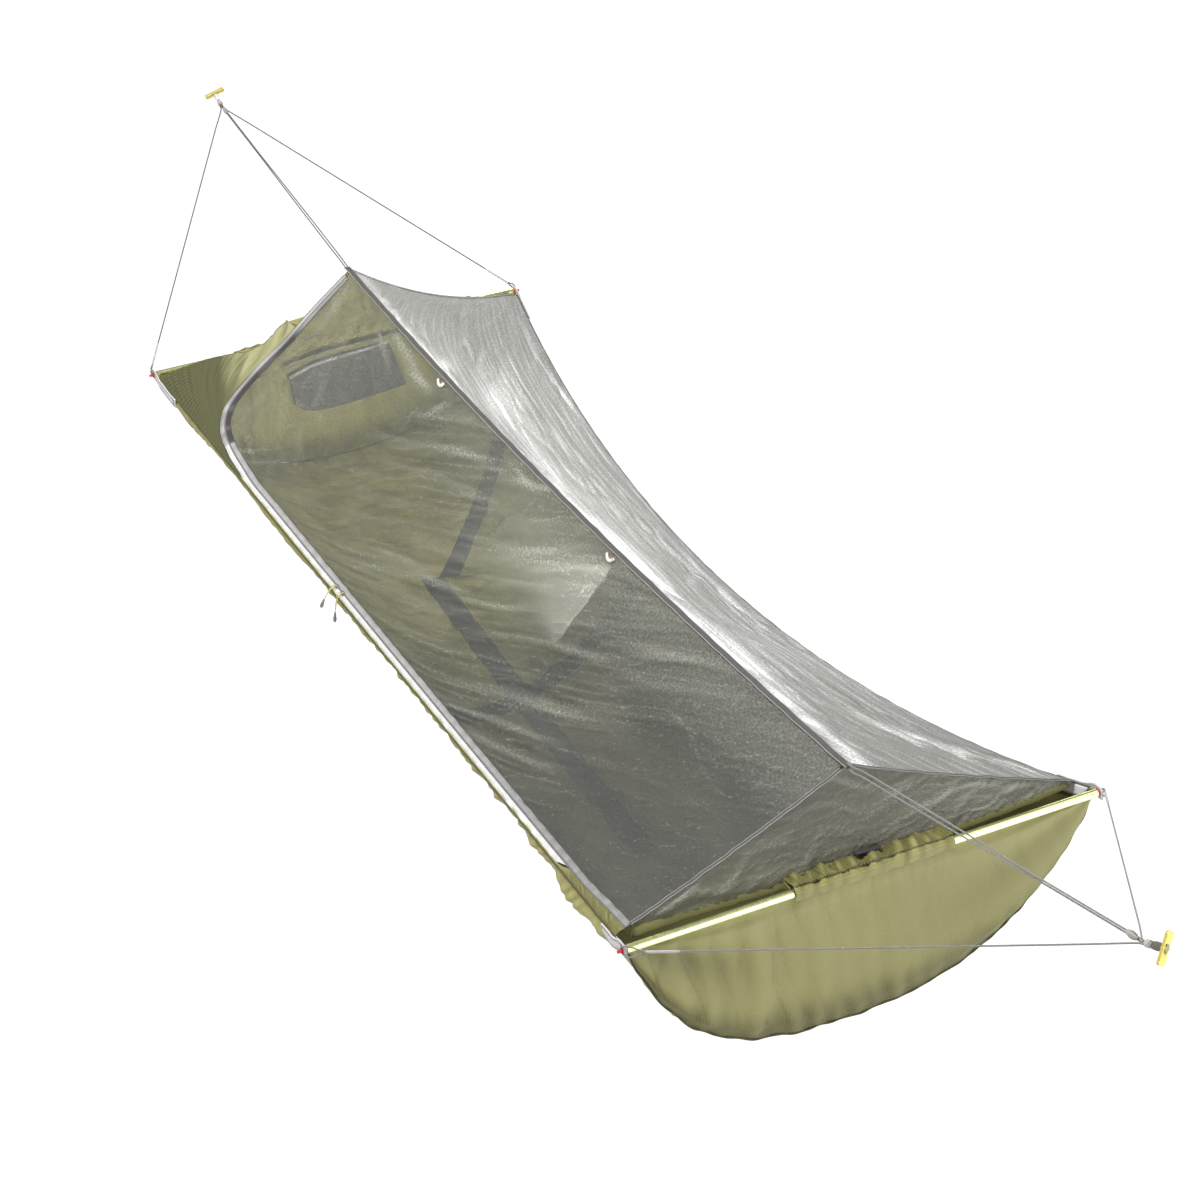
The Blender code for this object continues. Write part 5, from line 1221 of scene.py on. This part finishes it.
# ---- zip
def build_zip():
    body_end = int(np.argmax(ZIP_POINTS[:, 0] > OUTER_TAPE_END_X + 0.05))
    x, z = ZIP_POINTS[:, 0], ZIP_POINTS[:, 2]
    # stretches of the tapes that get painted shade: from the apex down to the turn round the head, split into
    # its upper part and the rest
    down = np.arange(len(ZIP_POINTS)) < int(np.argmax((x > -0.90) & (z < 0.02)))
    high = smoothstep(0.075, 0.11, z) * down
    wrap = down * (1 - high)
    for name, sign, stop, used, node, tones in (
            ("zip_tape_outer", -1, body_end, PALE_TAPE, "zip_tape_body", (0.30, 0.55, 0.0)),
            ("zip_tape_inner", 1, len(ZIP_POINTS), GREY_TAPE, "zip_tape_door", (0.36, 1.0, 0.22))):
        inner, outer = zip_side(sign * (ZIP_HALF + 0.0001)), zip_side(sign * ZIP_RIM)
        grid = mix(inner[:, None], outer[:, None], np.linspace(0, 1, 6)[None, :, None])[:stop]
        wave = ripple(x, 121, 0.05) * (0.0006 + 0.0010 * smoothstep(-0.1, 0.5, x) * (sign < 0))
        curl = np.linspace(0, 1, 6)[None, :] ** 2 * (0.0008 + wave[:stop, None])
        grid = grid - ZIP_NORMALS[:stop, None] * curl[..., None]
        if sign < 0:
            narrow = smoothstep(0.0, 0.05, OUTER_TAPE_END_X - x[:stop])
            scallop = 1.0 + 0.10 * ripple(x[:stop], 122, 0.028) * smoothstep(-0.1, 0.2, x[:stop])
            grid = grid[:, :1] + (grid - grid[:, :1]) * (narrow * scallop * 0.98 + 0.02)[:, None, None]
        # painted shade: tapes darkened on the upper stretch from the apex, more down to the turn, and the
        # door tape a little beyond it; the door tape also grows darker towards the foot
        shade = (tones[0] * high + tones[1] * wrap + tones[2] * (1 - down))[:stop, None]
        shade = shade + 0.10 * ripple(x, 123, 0.03)[:stop, None]
        if sign > 0:
            shade = shade + 0.22 * smoothstep(0.1, 0.8, x)[:stop, None]
        tape = cloth(name, grid, used, 0.0009, {"shade": shade})
        finish_piece(tape, replaces=[node])
        row = zip_side(sign * (ZIP_HALF + TAPE_WIDTH * 0.72)) + ZIP_NORMALS * 0.0002
        row = row[:body_end - 30 if sign < 0 else len(ZIP_POINTS)]
        along = lengths_along(row)
        dashes = []
        for start in np.arange(0.004, along[-1] - 0.004, 0.0070):
            dashes.append([[np.interp(at, along, row[:, k]) for k in range(3)]
                           for at in (start, start + 0.0036)])
        thread(name + "_stitches", dashes, 0.0003, THREAD_DARK, "dark_binding")
    teeth = []
    for sign in (-1, 1):
        row = zip_side(sign * ZIP_HALF * 0.95) + ZIP_NORMALS * 0.0004
        row = resample(row, np.linspace(0, 1, COIL_STEPS))
        scale = 1.0 + 0.16 * np.sin(np.arange(COIL_STEPS) * np.pi / 2)
        teeth.append(sweep(f"coil_{sign}", row, circle(0.00085, 6), COIL, scale=scale))
    finish_piece(joined("zip_coils", teeth))
    seam = zip_side(ZIP_RIM + 0.0006) - ZIP_NORMALS * 0.0004
    swept("zip_door_seam", seam, circle(0.0010, 6), DARK_BINDING, "dark_binding")
    seam = (zip_side(-ZIP_RIM - 0.0004) - ZIP_NORMALS * 0.0006)[:body_end - 40]
    swept("zip_body_seam", seam, circle(0.0008, 6), SEAM_DARK, "dark_binding")


def zip_place(x):
    """Middle of the zip at that x, and its directions along, across and outwards."""
    on_edge = edge(x, -1)
    outwards = -unit(on_edge - ZIP_CENTRE)
    along = unit(np.array([1.0, 0, 0]) - outwards * outwards[0])
    return on_edge + ZIP_AXIS * ZIP_OFFSET, along, np.cross(outwards, along), outwards


def rounded_block(name, centre, axes, size, material_used):
    """Box with bevelled edges, smoothed once more by subdivision."""
    signs = [(x, y, z) for x in (-1, 1) for y in (-1, 1) for z in (-1, 1)]
    verts = [centre + sum(axes[k] * s[k] * size[k] / 2 for k in range(3)) for s in signs]
    faces = [(0, 1, 3, 2), (4, 6, 7, 5), (0, 4, 5, 1), (2, 3, 7, 6), (0, 2, 6, 4), (1, 5, 7, 3)]
    obj = new_object(name, np.array(verts), faces, material_used, np.zeros((8, 2)))
    bevel = obj.modifiers.new("bevel", "BEVEL")
    bevel.width = min(size) * 0.28
    bevel.segments = 3
    soft = obj.modifiers.new("soft", "SUBSURF")
    soft.levels = soft.render_levels = 1
    return obj


def build_slider(label, node, x, body):
    """Coil slider: a plate on each side of the coil, and a bridge for the pull."""
    middle, along, across, outwards = zip_place(x)
    axes = (along, across, outwards)
    for word, rise, size, stood_for in (("body", 0.0022, (0.0118, 0.0088, 0.0020), [node]),
                                        ("under", -0.0019, (0.0112, 0.0084, 0.0014), [])):
        plate = rounded_block(f"{label}_slider_{word}", middle + outwards * rise, axes, size, PLATED)
        finish_piece(plate, body, stood_for)
    arch = [middle + along * a + outwards * h for a, h in (
        (-0.0042, 0.0026), (-0.0034, 0.0048), (-0.0010, 0.0058), (0.0020, 0.0056), (0.0040, 0.0044),
        (0.0046, 0.0026))]
    swept(f"{label}_slider_bridge", smooth_line(arch, 5), circle(0.0007, 8, 1.8), PLATED, "steel", body,
          hint=across)


def build_pull(name, node, start, route, tip_length, tip_used):
    """Doubled lime cord from the slider's bridge, ending in a grip; its body has its own name."""
    body = name
    path = smooth_line([start + np.array(p) for p in route], 10)
    along = lengths_along(path)
    split = np.searchsorted(along, along[-1] - tip_length)
    loop = []
    sides, _ = frames_along(path[:split + 1], (1, 0, 0))
    gape = 0.0018 * (1 - smoothstep(0.0, along[split], along[:split + 1])) + 0.0009
    for sign in (1, -1):
        leg = path[:split + 1] + sides * (sign * gape)[:, None]
        loop.append(sweep(f"leg{sign}", leg, circle(0.0010, 7), LIME_CORD))
    finish_piece(joined(f"{name}_cord", loop), body, [node])
    grip = path[split - 1:]
    share = np.linspace(0, 1, len(grip))
    scale = 0.62 + 0.5 * smoothstep(0.0, 0.75, share) - 0.35 * smoothstep(0.86, 1.0, share)
    ridges = 1.0 + 0.05 * np.sin(share * 40)
    swept(f"{name}_grip", grip, circle(0.0040, 12, 0.8), tip_used, "grey_webbing", body,
          hint=(1, 0, 0), scale=scale * ridges)


def build_pulls():
    head_x, foot_x = -0.335, -0.305
    for label, x, body in (("head", head_x, "head_zip_slider"), ("foot", foot_x, "foot_zip_slider")):
        build_slider(label, f"zip_slider_{label}", x, body)
    outside, inside = 0.0046, -0.0036
    for label, word, x, rise, tip, used, route in (
            ("head", "outer", head_x, outside, 0.018, GREY_TIP,
             [(-0.001, -0.006, 0.0005), (-0.003, -0.016, -0.010), (-0.005, -0.028, -0.028),
              (-0.006, -0.036, -0.045)]),
            ("foot", "outer", foot_x, outside, 0.020, GREY_TIP,
             [(0.001, -0.006, 0.0), (0.0, -0.014, -0.016), (-0.001, -0.019, -0.040),
              (-0.002, -0.022, -0.064)]),
            ("head", "inner", head_x, inside, 0.010, LIME_CORD,
             [(-0.001, 0.007, -0.007), (-0.002, 0.017, -0.019), (-0.002, 0.026, -0.032),
              (-0.002, 0.036, -0.045)]),
            ("foot", "inner", foot_x, inside, 0.010, LIME_CORD,
             [(0.001, 0.007, -0.008), (0.003, 0.017, -0.020), (0.004, 0.028, -0.034),
              (0.004, 0.039, -0.049)])):
        middle, _, _, outwards = zip_place(x)
        build_pull(f"{label}_{word}_pull", f"pull_{label}_{word}", middle + outwards * rise,
                   [(0, 0, 0)] + route, tip, used)


# ---- corners
def strap_middle(reach, end, side):
    """Middle line of the strap, measured inwards from its eye; it droops below the top edge."""
    x = POLE_X + STRAP_PAST_POLE - reach
    on_edge = edge(np.minimum(x, END_X) * end, side)
    droop = 0.0070 * smoothstep(0.022, 0.060, reach)
    y = np.minimum(STRAP_FACE_Y, np.abs(on_edge[..., 1]) + STRAP_FACE_Y - EDGE_HALF_WIDTH + 0.25 * droop)
    return x * end, side * y, on_edge[..., 2] - droop


def stitch_point(reach, end, side, across):
    """Point on the strap's outer face; across goes from -0.5 to 0.5 over its width."""
    x, y, z = strap_middle(reach, end, side)
    return np.array([x, y + side * 0.0021, z + STRAP_WIDTH * across])


def build_corner_strap(end, side, label):
    """Bar-tacked webbing on the edge, with its outer end over the pole's tip."""
    name = f"{label}_strap_{SIDE_WORD[side]}"
    reach = np.linspace(0.0, 0.118, 60)
    x, y, z = strap_middle(reach, end, side)
    h = np.linspace(-0.5, 0.5, 13)[None, :]
    rounding = np.where(reach < 0.006, 0.80 + 0.20 * np.sqrt(np.clip(reach / 0.006, 0, 1)), 1.0)
    width = STRAP_WIDTH * rounding
    wave = side * 0.0006 * ripple(reach, 130 + end + side, 0.04)
    points = vec(x[:, None], y[:, None] + side * 0.0008 * np.cos(np.pi * h) + wave[:, None],
                 z[:, None] + width[:, None] * h)
    strap = cloth(f"{name}_webbing", points, LIGHT_WEBBING, 0.0021)
    finish_piece(strap, replaces=[name])
    dashes = [[stitch_point(at, end, side, across) for at in (start, start + 0.0028)]
              for across in (-0.36, 0.36) for start in np.arange(0.016, 0.112, 0.0046)]
    dashes += [[stitch_point(start + ahead, end, side, a + rise)
                for ahead, rise in ((0.0, 0.0), (0.0012, 0.07))]
               for start in (0.018, 0.110, 0.114) for a in np.linspace(-0.40, 0.32, 8)]
    thread(f"{name}_bartack", dashes, 0.00045, THREAD_DARK, "dark_binding")


# ---- suspension
KNOT = {-1: box_middle("head_knot") - ORIGIN, 1: box_middle("foot_knot") - ORIGIN}
PULL_ANGLE = {-1: math.radians(22.0), 1: math.radians(24.5)}
BRAID = {-1: CORD, 1: LIT_FOOT_CORD}
KNOT_LENGTH = 0.014
KNOT_TO_TOGGLE = 0.0386
GAP = 0.0004
CORD_R = 0.0015
LOOP_DIAMETER = 0.0026
TOGGLE_HALF_PITCH = 0.0050
TOGGLE_HOLE_R = 0.0019
SIDEWAYS = np.array([0.0, 1.0, 0.0])


def pull_direction(end):
    """Direction in which the tree strap pulls."""
    return np.array([end * math.cos(PULL_ANGLE[end]), 0.0, math.sin(PULL_ANGLE[end])])


def knot_face(end):
    return KNOT[end] - pull_direction(end) * (KNOT_LENGTH / 2 + GAP)


def build_corner_cord(end, side, label):
    name = f"{label}_cord_{SIDE_WORD[side]}"
    eye_y = side * (STRAP_FACE_Y + 0.0012 + GAP + CORD_R)
    centre = np.array([end * POLE_X, eye_y, 0.0])
    pull = pull_direction(end)
    arrival = knot_face(end) + np.array([0.0, side * 0.0034, -0.0012])
    run = arrival - centre
    along = unit(np.array([run[0], 0.0, run[2]]))
    lateral = np.array([-along[2], 0.0, along[0]])
    bend = 0.0030 + 0.0004 + CORD_R
    wide, long = (0.0090, 1.35) if end > 0 and side < 0 else (0.0064, 0.85)
    turn_in = run[1] / math.hypot(run[0], run[2])
    half = [(0.0019, 0.0330), (0.55 * wide, 0.0260), (0.92 * wide, 0.0180), (wide, 0.0100),
            (0.86 * wide, 0.0040)]
    local = [(-a, b * long) for a, b in half]
    local += [(-bend * math.cos(a), -bend * math.sin(a)) for a in np.linspace(0.35, math.pi - 0.35, 6)]
    local += [(a, b * long) for a, b in half[::-1]] + [(0.0006, 0.0380 * long), (0.0, 0.0430 * long)]
    eye = [centre + lateral * a + along * b + SIDEWAYS * (turn_in * max(b - 0.015, 0.0)) for a, b in local]
    straight = [mix(eye[-1], arrival - pull * 0.010, t) for t in (0.03, 0.08, 0.3, 0.6, 0.9, 1.0)]
    path = smooth_line(eye + straight + [arrival - pull * 0.005, arrival], 6)
    cord = sweep(f"{name}_braid", path, circle(CORD_R, 10), BRAID[end], hint=(0, 1, 0))
    finish_piece(cord, replaces=[name])
    distance = lengths_along(path)
    first = int(np.argmax(np.linalg.norm(path - eye[-1], axis=1) < 0.001))
    chosen = path[(distance > distance[first] - 0.010) & (distance < distance[first] + 0.062)]
    thick = resample(chosen, np.linspace(0, 1, 40))
    share = np.linspace(0, 1, 40)
    scale = 0.75 + 0.25 * smoothstep(0, 0.06, share) - 0.30 * smoothstep(0.80, 1.0, share)
    splice = sweep(f"{name}_splice", thick, circle(0.0024, 10), SPLICE, hint=(0, 1, 0), scale=scale)
    finish_piece(splice)


def ridge_cord_axis(end):
    """Start at the knot, the ridge's eye, and the directions along the cord and up from it."""
    start = knot_face(end) - pull_direction(end) * 0.0010
    eye = ridge(0.0 if end < 0 else 1.0)
    along = unit(eye - start)
    up = unit(np.cross([0.0, 1.0, 0.0], along))
    return start, eye, along, up if up[2] > 0 else -up


def build_ridge_cord(end, label):
    start, eye, along, up = ridge_cord_axis(end)
    length = np.linalg.norm(eye - start)
    upper = [start + along * (share * length) + up * rise for share, rise in RIDGE_CORD_LEGS]
    lower = [start + along * (share * length) - up * rise for share, rise in RIDGE_CORD_LEGS]
    turn_r = 0.0015 + GAP + RIDGE_CORD_R + 0.0006
    outwards = unit(ridge(1.0) - ridge(0.99)) if end > 0 else unit(ridge(0.0) - ridge(0.01))
    above = np.array([-outwards[2] * end, 0.0, outwards[0] * end])
    turn = [(0.016, 1.25)] + [(turn_r * (1 - np.cos(a)), np.sin(a)) for a in np.linspace(np.pi / 2, 0, 6)]
    bend = [eye + outwards * r + above * (k * turn_r) for r, k in turn]
    bend += [eye + outwards * r - above * (k * turn_r) for r, k in turn[-2::-1]]
    path = smooth_line(upper + bend + lower[::-1], 5)
    cord = sweep(f"{label}_ridge_braid", path, circle(RIDGE_CORD_R, 8), BRAID[end], hint=(0, 1, 0))
    finish_piece(cord, replaces=[f"{label}_ridge_cord"])


def build_adjuster(end, label):
    """Folded webbing tensioner: a lens-shaped tab round the ridge cord."""
    low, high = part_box(f"{label}_adjuster")
    middle = np.array((low + high) / 2) - ORIGIN
    _, _, along, up = ridge_cord_axis(end)
    across = np.cross(along, up)
    share = np.linspace(-1, 1, 41)
    path = middle + along[None] * (share * 0.0145)[:, None]
    lens = 0.42 + 0.58 * np.cos(share * np.pi / 2) ** 0.8
    swept(f"{label}_adjuster_tab", path, flat_section(0.0128, 0.0080, 0.5), ADJUSTER_TAB, "grey_webbing",
          f"{label}_ridge_adjuster", [f"{label}_adjuster"], hint=across, scale=lens)


def build_knot(end, label):
    """Whipped knot: a core with cord wound round it."""
    knot, pull = KNOT[end], pull_direction(end)
    up = np.cross(pull, SIDEWAYS)
    share = np.linspace(-1, 1, 21)
    core = sweep("core", knot + pull[None] * (share * KNOT_LENGTH / 2)[:, None], circle(0.0042, 14), SPLICE,
                 hint=SIDEWAYS, scale=0.82 + 0.18 * np.cos(share * np.pi / 2))
    turns = 5
    angle = np.linspace(0, 2 * np.pi * turns, 30 * turns)
    reach = 0.0046 + 0.0006 * np.sin(angle / turns / 2)
    rise = np.linspace(-0.0055, 0.0055, len(angle))
    coil = (knot + pull[None] * rise[:, None] + SIDEWAYS[None] * (reach * np.cos(angle))[:, None]
            + up[None] * (reach * np.sin(angle))[:, None])
    wrap = sweep("wrap", coil, circle(0.00120, 7), SPLICE, hint=pull)
    finish_piece(joined(f"{label}_knot_whipping", [core, wrap]), replaces=[f"{label}_knot"])


def toggle_axes(end):
    """Directions along the bar, across it and of the pull."""
    roll = math.radians(21.0 if end < 0 else 57.0)
    pull = pull_direction(end)
    up = np.array([-pull[2] * end, 0.0, pull[0] * end])
    bar = SIDEWAYS * math.cos(roll) + up * math.sin(roll)
    return bar, np.cross(pull, bar), pull


def toggle_half(name, middle, axes, sign, material_used):
    """One half of the bar round its hole: rounded rims, and a flat face where the halves meet."""
    length, width, depth, corner = 0.0496, 0.0112, 0.0067, 0.0036
    arc = np.linspace(0, math.pi / 2, 7)
    side_x = np.linspace(0.0, length / 2 - corner, 14)
    outline = [(x, -width / 2) for x in side_x]
    outline += [(length / 2 - corner + corner * math.sin(a), -width / 2 + corner - corner * math.cos(a))
                for a in arc]
    outline += [(length / 2, 0.0)]
    outline += [(length / 2 - corner + corner * math.cos(a), width / 2 - corner + corner * math.sin(a))
                for a in arc]
    outline += [(x, width / 2) for x in side_x[::-1]]
    outline += [(0.0, y) for y in np.linspace(width / 2, -width / 2, 9)[1:-1]]
    outline = np.array(outline) * sign
    hole = np.array([sign * TOGGLE_HALF_PITCH, 0.0])
    inwards = hole - outline
    rim = hole - unit(inwards) * TOGGLE_HOLE_R
    soft = np.where(np.abs(outline[:, 0]) < 1e-6, 0.0, 0.0014)[:, None]
    half = depth / 2
    rings = [(rim, -half + 0.0005), (rim, half - 0.0005), (rim - unit(inwards) * 0.0005, half)]
    for face, first, last in ((1, 0, math.pi / 2), (-1, math.pi / 2, 0)):
        for a in np.linspace(first, last, 5):
            inset = soft * (1 - math.sin(a))
            height = face * (half - (soft * (1 - math.cos(a)))[:, 0])
            rings.append((outline + unit(inwards) * inset, height))
    rings.append((rim - unit(inwards) * 0.0005, -half))
    grid = np.stack([vec(flat[:, 0], flat[:, 1], height + 0 * flat[:, 0]) for flat, height in rings], axis=1)
    rows, cols = grid.shape[:2]
    points = middle + sum(grid[..., k, None] * axes[k] for k in range(3))
    faces = []
    for i in range(rows):
        for j in range(cols):
            nexts = ((i + 1) % rows, (j + 1) % cols)
            faces.append((i * cols + j, i * cols + nexts[1], nexts[0] * cols + nexts[1], nexts[0] * cols + j))
    return new_object(name, points.reshape(-1, 3), faces, material_used, np.zeros((rows * cols, 2)))


def build_toggle(end, label):
    """Toggle bar on its soft loop, which runs from the knot through both holes."""
    knot, pitch, half = KNOT[end], TOGGLE_HALF_PITCH, 0.0035
    bar, wide, pull = toggle_axes(end)
    middle = knot + pull * KNOT_TO_TOGGLE
    face = KNOT_LENGTH / 2 + GAP - KNOT_TO_TOGGLE
    route = [(0.0027, face), (0.0027, face + 0.003), (0.0040, face + 0.012), (pitch, -half - 0.006),
             (pitch, -half), (pitch, half)]
    arch = []
    for k in range(1, 6):
        angle = math.pi * k / 6
        arch.append((pitch * math.cos(angle), half + 0.0026 * math.sin(angle) ** 0.7 + 0.0004))
    mirrored = [(-a, h) for a, h in reversed(route)]
    path = smooth_line([middle + bar * a + pull * h for a, h in route + arch + mirrored], 6)
    loop = sweep(f"{label}_loop_braid", path, circle(LOOP_DIAMETER / 2, 8), SPLICE, hint=wide)
    body = f"{label}_toggle_group"
    finish_piece(loop, body, [f"{label}_toggle_loop"])
    share = np.linspace(0, 1, 31)
    line = knot + pull[None] * mix(0.0095, 0.0325 if end > 0 else 0.0300, share)[:, None]
    scale = 0.80 + 0.20 * np.sin(np.pi * share) ** 0.5 + 0.02 * np.sin(share * 30)
    section = flat_section(0.0130, 0.0062, 0.6) if end > 0 else circle(0.0058, 14, 0.8)
    swept(f"{label}_loop_keeper", line, section, DARK_LOOP if end > 0 else CLEAR_SLEEVE, "grey_webbing",
          body, hint=wide, scale=scale)
    halves = [toggle_half(f"half_{sign}", middle, (bar, wide, pull), sign, GOLD) for sign in (1, -1)]
    finish_piece(joined(f"{label}_toggle_bar", halves), body, [f"{label}_toggle"])


def build_hooks():
    """Small hooks under the ridge that hold the rolled door: a webbing tab and a white hook."""
    tab_route = ((0, 0.0035, -0.0064), (0, 0.0, -0.0085), (0, -0.0050, -0.0115), (0, -0.0115, -0.0150))
    hook_route = ((-0.013, -0.0085, -0.009), (-0.006, -0.0115, -0.0150), (0.003, -0.0125, -0.0165),
                  (0.011, -0.0110, -0.0130), (0.0150, -0.0090, -0.0080))
    for label, t in (("head", 0.25), ("foot", 0.615)):
        body = f"{label}_hook"
        top = ridge(t) + np.array([0.0, -0.0040, 0.0022])
        tab, hook = [[top + np.array(p) for p in route] for route in (tab_route, hook_route)]
        swept(f"{label}_hook_tab", smooth_line(tab, 5), flat_section(0.0105, 0.0018), TAB_BROWN,
              "pale_plastic", body, [f"ridge_hook_{label}"], hint=(0, 1, 0.4))
        swept(f"{label}_hook_bar", smooth_line(hook, 6), circle(0.0026, 10, 1.3), WHITE_PLASTIC,
              "pale_plastic", body, hint=(0, 1, 0))


# ---- pieces kept from the CAD, and the sleeve's tab
def paint_nodes():
    for label in ("head", "foot"):
        for part in ("near", "far"):
            paint(f"{label}_pole_{part}", LIME)
            paint(f"{label}_tip_{part}", RED)
        paint(f"{label}_ferrule", PLATED)
        paint(f"{label}_shock_cord", BLACK_WEBBING)


def paint(node, material_used):
    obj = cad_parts[node]
    obj.data.materials.clear()
    obj.data.materials.append(material_used)


def build_sleeve_tab():
    """Folded webbing tab on the foot sleeve."""
    y = np.linspace(-0.014, 0.034, 24)
    h = np.linspace(0, 1, 9)
    out = 0.0016 * np.sin(y * 90)[:, None] + 0.0014 * np.sin(np.pi * h)[None]
    points = vec(POLE_X - 0.020 + out - 0.014 * h[None], y[:, None] + 0.002 * h[None] + 0 * out,
                 0.0172 + 0.0030 * np.sin(np.pi * h)[None] - 0.004 * h[None] + 0 * out)
    obj = cloth("foot_tab_webbing", points, BLACK_WEBBING, 0.0018)
    finish_piece(obj, replaces=["foot_sleeve_tab"])


# ---- camera, light and floor
WHITE = (1.0, 1.0, 1.0, 1.0)


def build_stage():
    data = bpy.data.cameras.new("camera")
    data.lens = 82.1
    data.sensor_width = 36.0
    data.clip_end = 1000.0
    camera = bpy.data.objects.new("camera", data)
    place_at = place([4.33, -1.88, 2.662])
    right = np.array([0.43499, 0.89949, -0.04114])
    up = np.array([-0.44110, 0.25270, 0.86115])
    back = np.array([0.78499, -0.35645, 0.50669])
    camera.matrix_world = Matrix([[right[k], up[k], back[k], place_at[k]] for k in range(3)] + [[0, 0, 0, 1]])
    bpy.context.scene.collection.objects.link(camera)
    bpy.context.scene.camera = camera
    bpy.context.scene.view_settings.view_transform = "Standard"

    mesh = bpy.data.meshes.new("floor")
    size, level = 300.0, cad_bounds[0][2] - 1.1
    corners = ((-size, -size), (size, -size), (size, size), (-size, size))
    mesh.from_pydata([(x, y, level) for x, y in corners], [], [(0, 1, 2, 3)])
    n = Nodes("floor_paint", 0.9, specular=0.1)
    colour = n.blend(n.noise(1.2, 3.0, kind="Object"), (0.22, 0.22, 0.22, 1.0), (0.26, 0.26, 0.26, 1.0))
    n.shader.inputs["Emission Color"].default_value = WHITE
    n.shader.inputs["Emission Strength"].default_value = 0.95
    mesh.materials.append(n.done(colour))
    floor = bpy.data.objects.new("floor", mesh)
    bpy.context.scene.collection.objects.link(floor)

    world = bpy.data.worlds.new("studio")
    world.use_nodes = True
    background = world.node_tree.nodes["Background"]
    background.inputs["Color"].default_value = WHITE
    background.inputs["Strength"].default_value = 0.36
    bpy.context.scene.world = world
    middle = place(np.array([0.0, 0.0, -0.1]))
    area_light("key", middle + np.array([0.2, -1.3, 4.6]), middle, 1.6, 1.6, 300.0)
    area_light("back", middle + np.array([-3.2, 2.6, 2.6]), middle, 2.0, 1.2, 60.0)
    area_light("low", middle + np.array([4.6, -0.8, 0.6]), middle + np.array([1.0, 0.0, 0.0]), 1.5, 1.0, 14.0)
    inside = area_light("inside", place([0.30, 0.0, 0.02]), place([-1.19, 0.0, -0.12]), 0.3, 0.2, 3.0)
    inside.data.spread = math.radians(56)
    inside.visible_camera = inside.visible_glossy = False
    for end, spot in ((1, (3.9, 1.1, 0.0)), (-1, (1.6, 1.2, 0.1))):
        strip = area_light(f"pole_shine_{end}", place(spot), place([end * POLE_X, 0, 0]), 3.0, 3.0, 72.0)
        strip.visible_camera = strip.visible_diffuse = strip.visible_transmission = False


def area_light(name, at, towards, width, height, power):
    lamp = bpy.data.lights.new(name, "AREA")
    lamp.shape = "RECTANGLE"
    lamp.size, lamp.size_y, lamp.energy = width, height, power
    light = bpy.data.objects.new(name, lamp)
    light.location = at
    light.rotation_euler = (Vector(towards) - light.location).to_track_quat("-Z", "Y").to_euler()
    bpy.context.scene.collection.objects.link(light)
    return light


build_stage()
for side in (-1, 1):
    build_corner_cord(-1, side, "head")
    build_corner_cord(1, side, "foot")
for end, label in ((-1, "head"), (1, "foot")):
    build_ridge_cord(end, label)
    build_adjuster(end, label)
    build_knot(end, label)
    build_toggle(end, label)
    for side in (-1, 1):
        build_corner_strap(end, side, label)
build_body()
build_end_wall(-1, "head", HEAD_SLEEVE_Y)
build_end_wall(1, "foot", FOOT_SLEEVE_Y)
build_sleeve(-1, "head", HEAD_SLEEVE_Y, HEAD_SLEEVE_PROFILE)
build_sleeve(1, "foot", FOOT_SLEEVE_Y, FOOT_SLEEVE_PROFILE)
build_net_door()
build_net_far()
build_foot_net()
build_head_panel()
build_head_gusset()
build_edge_strip()
build_bindings()
build_edge_webbing()
build_bands()
build_pocket()
build_zip()
build_pulls()
build_hooks()
build_sleeve_tab()
paint_nodes()
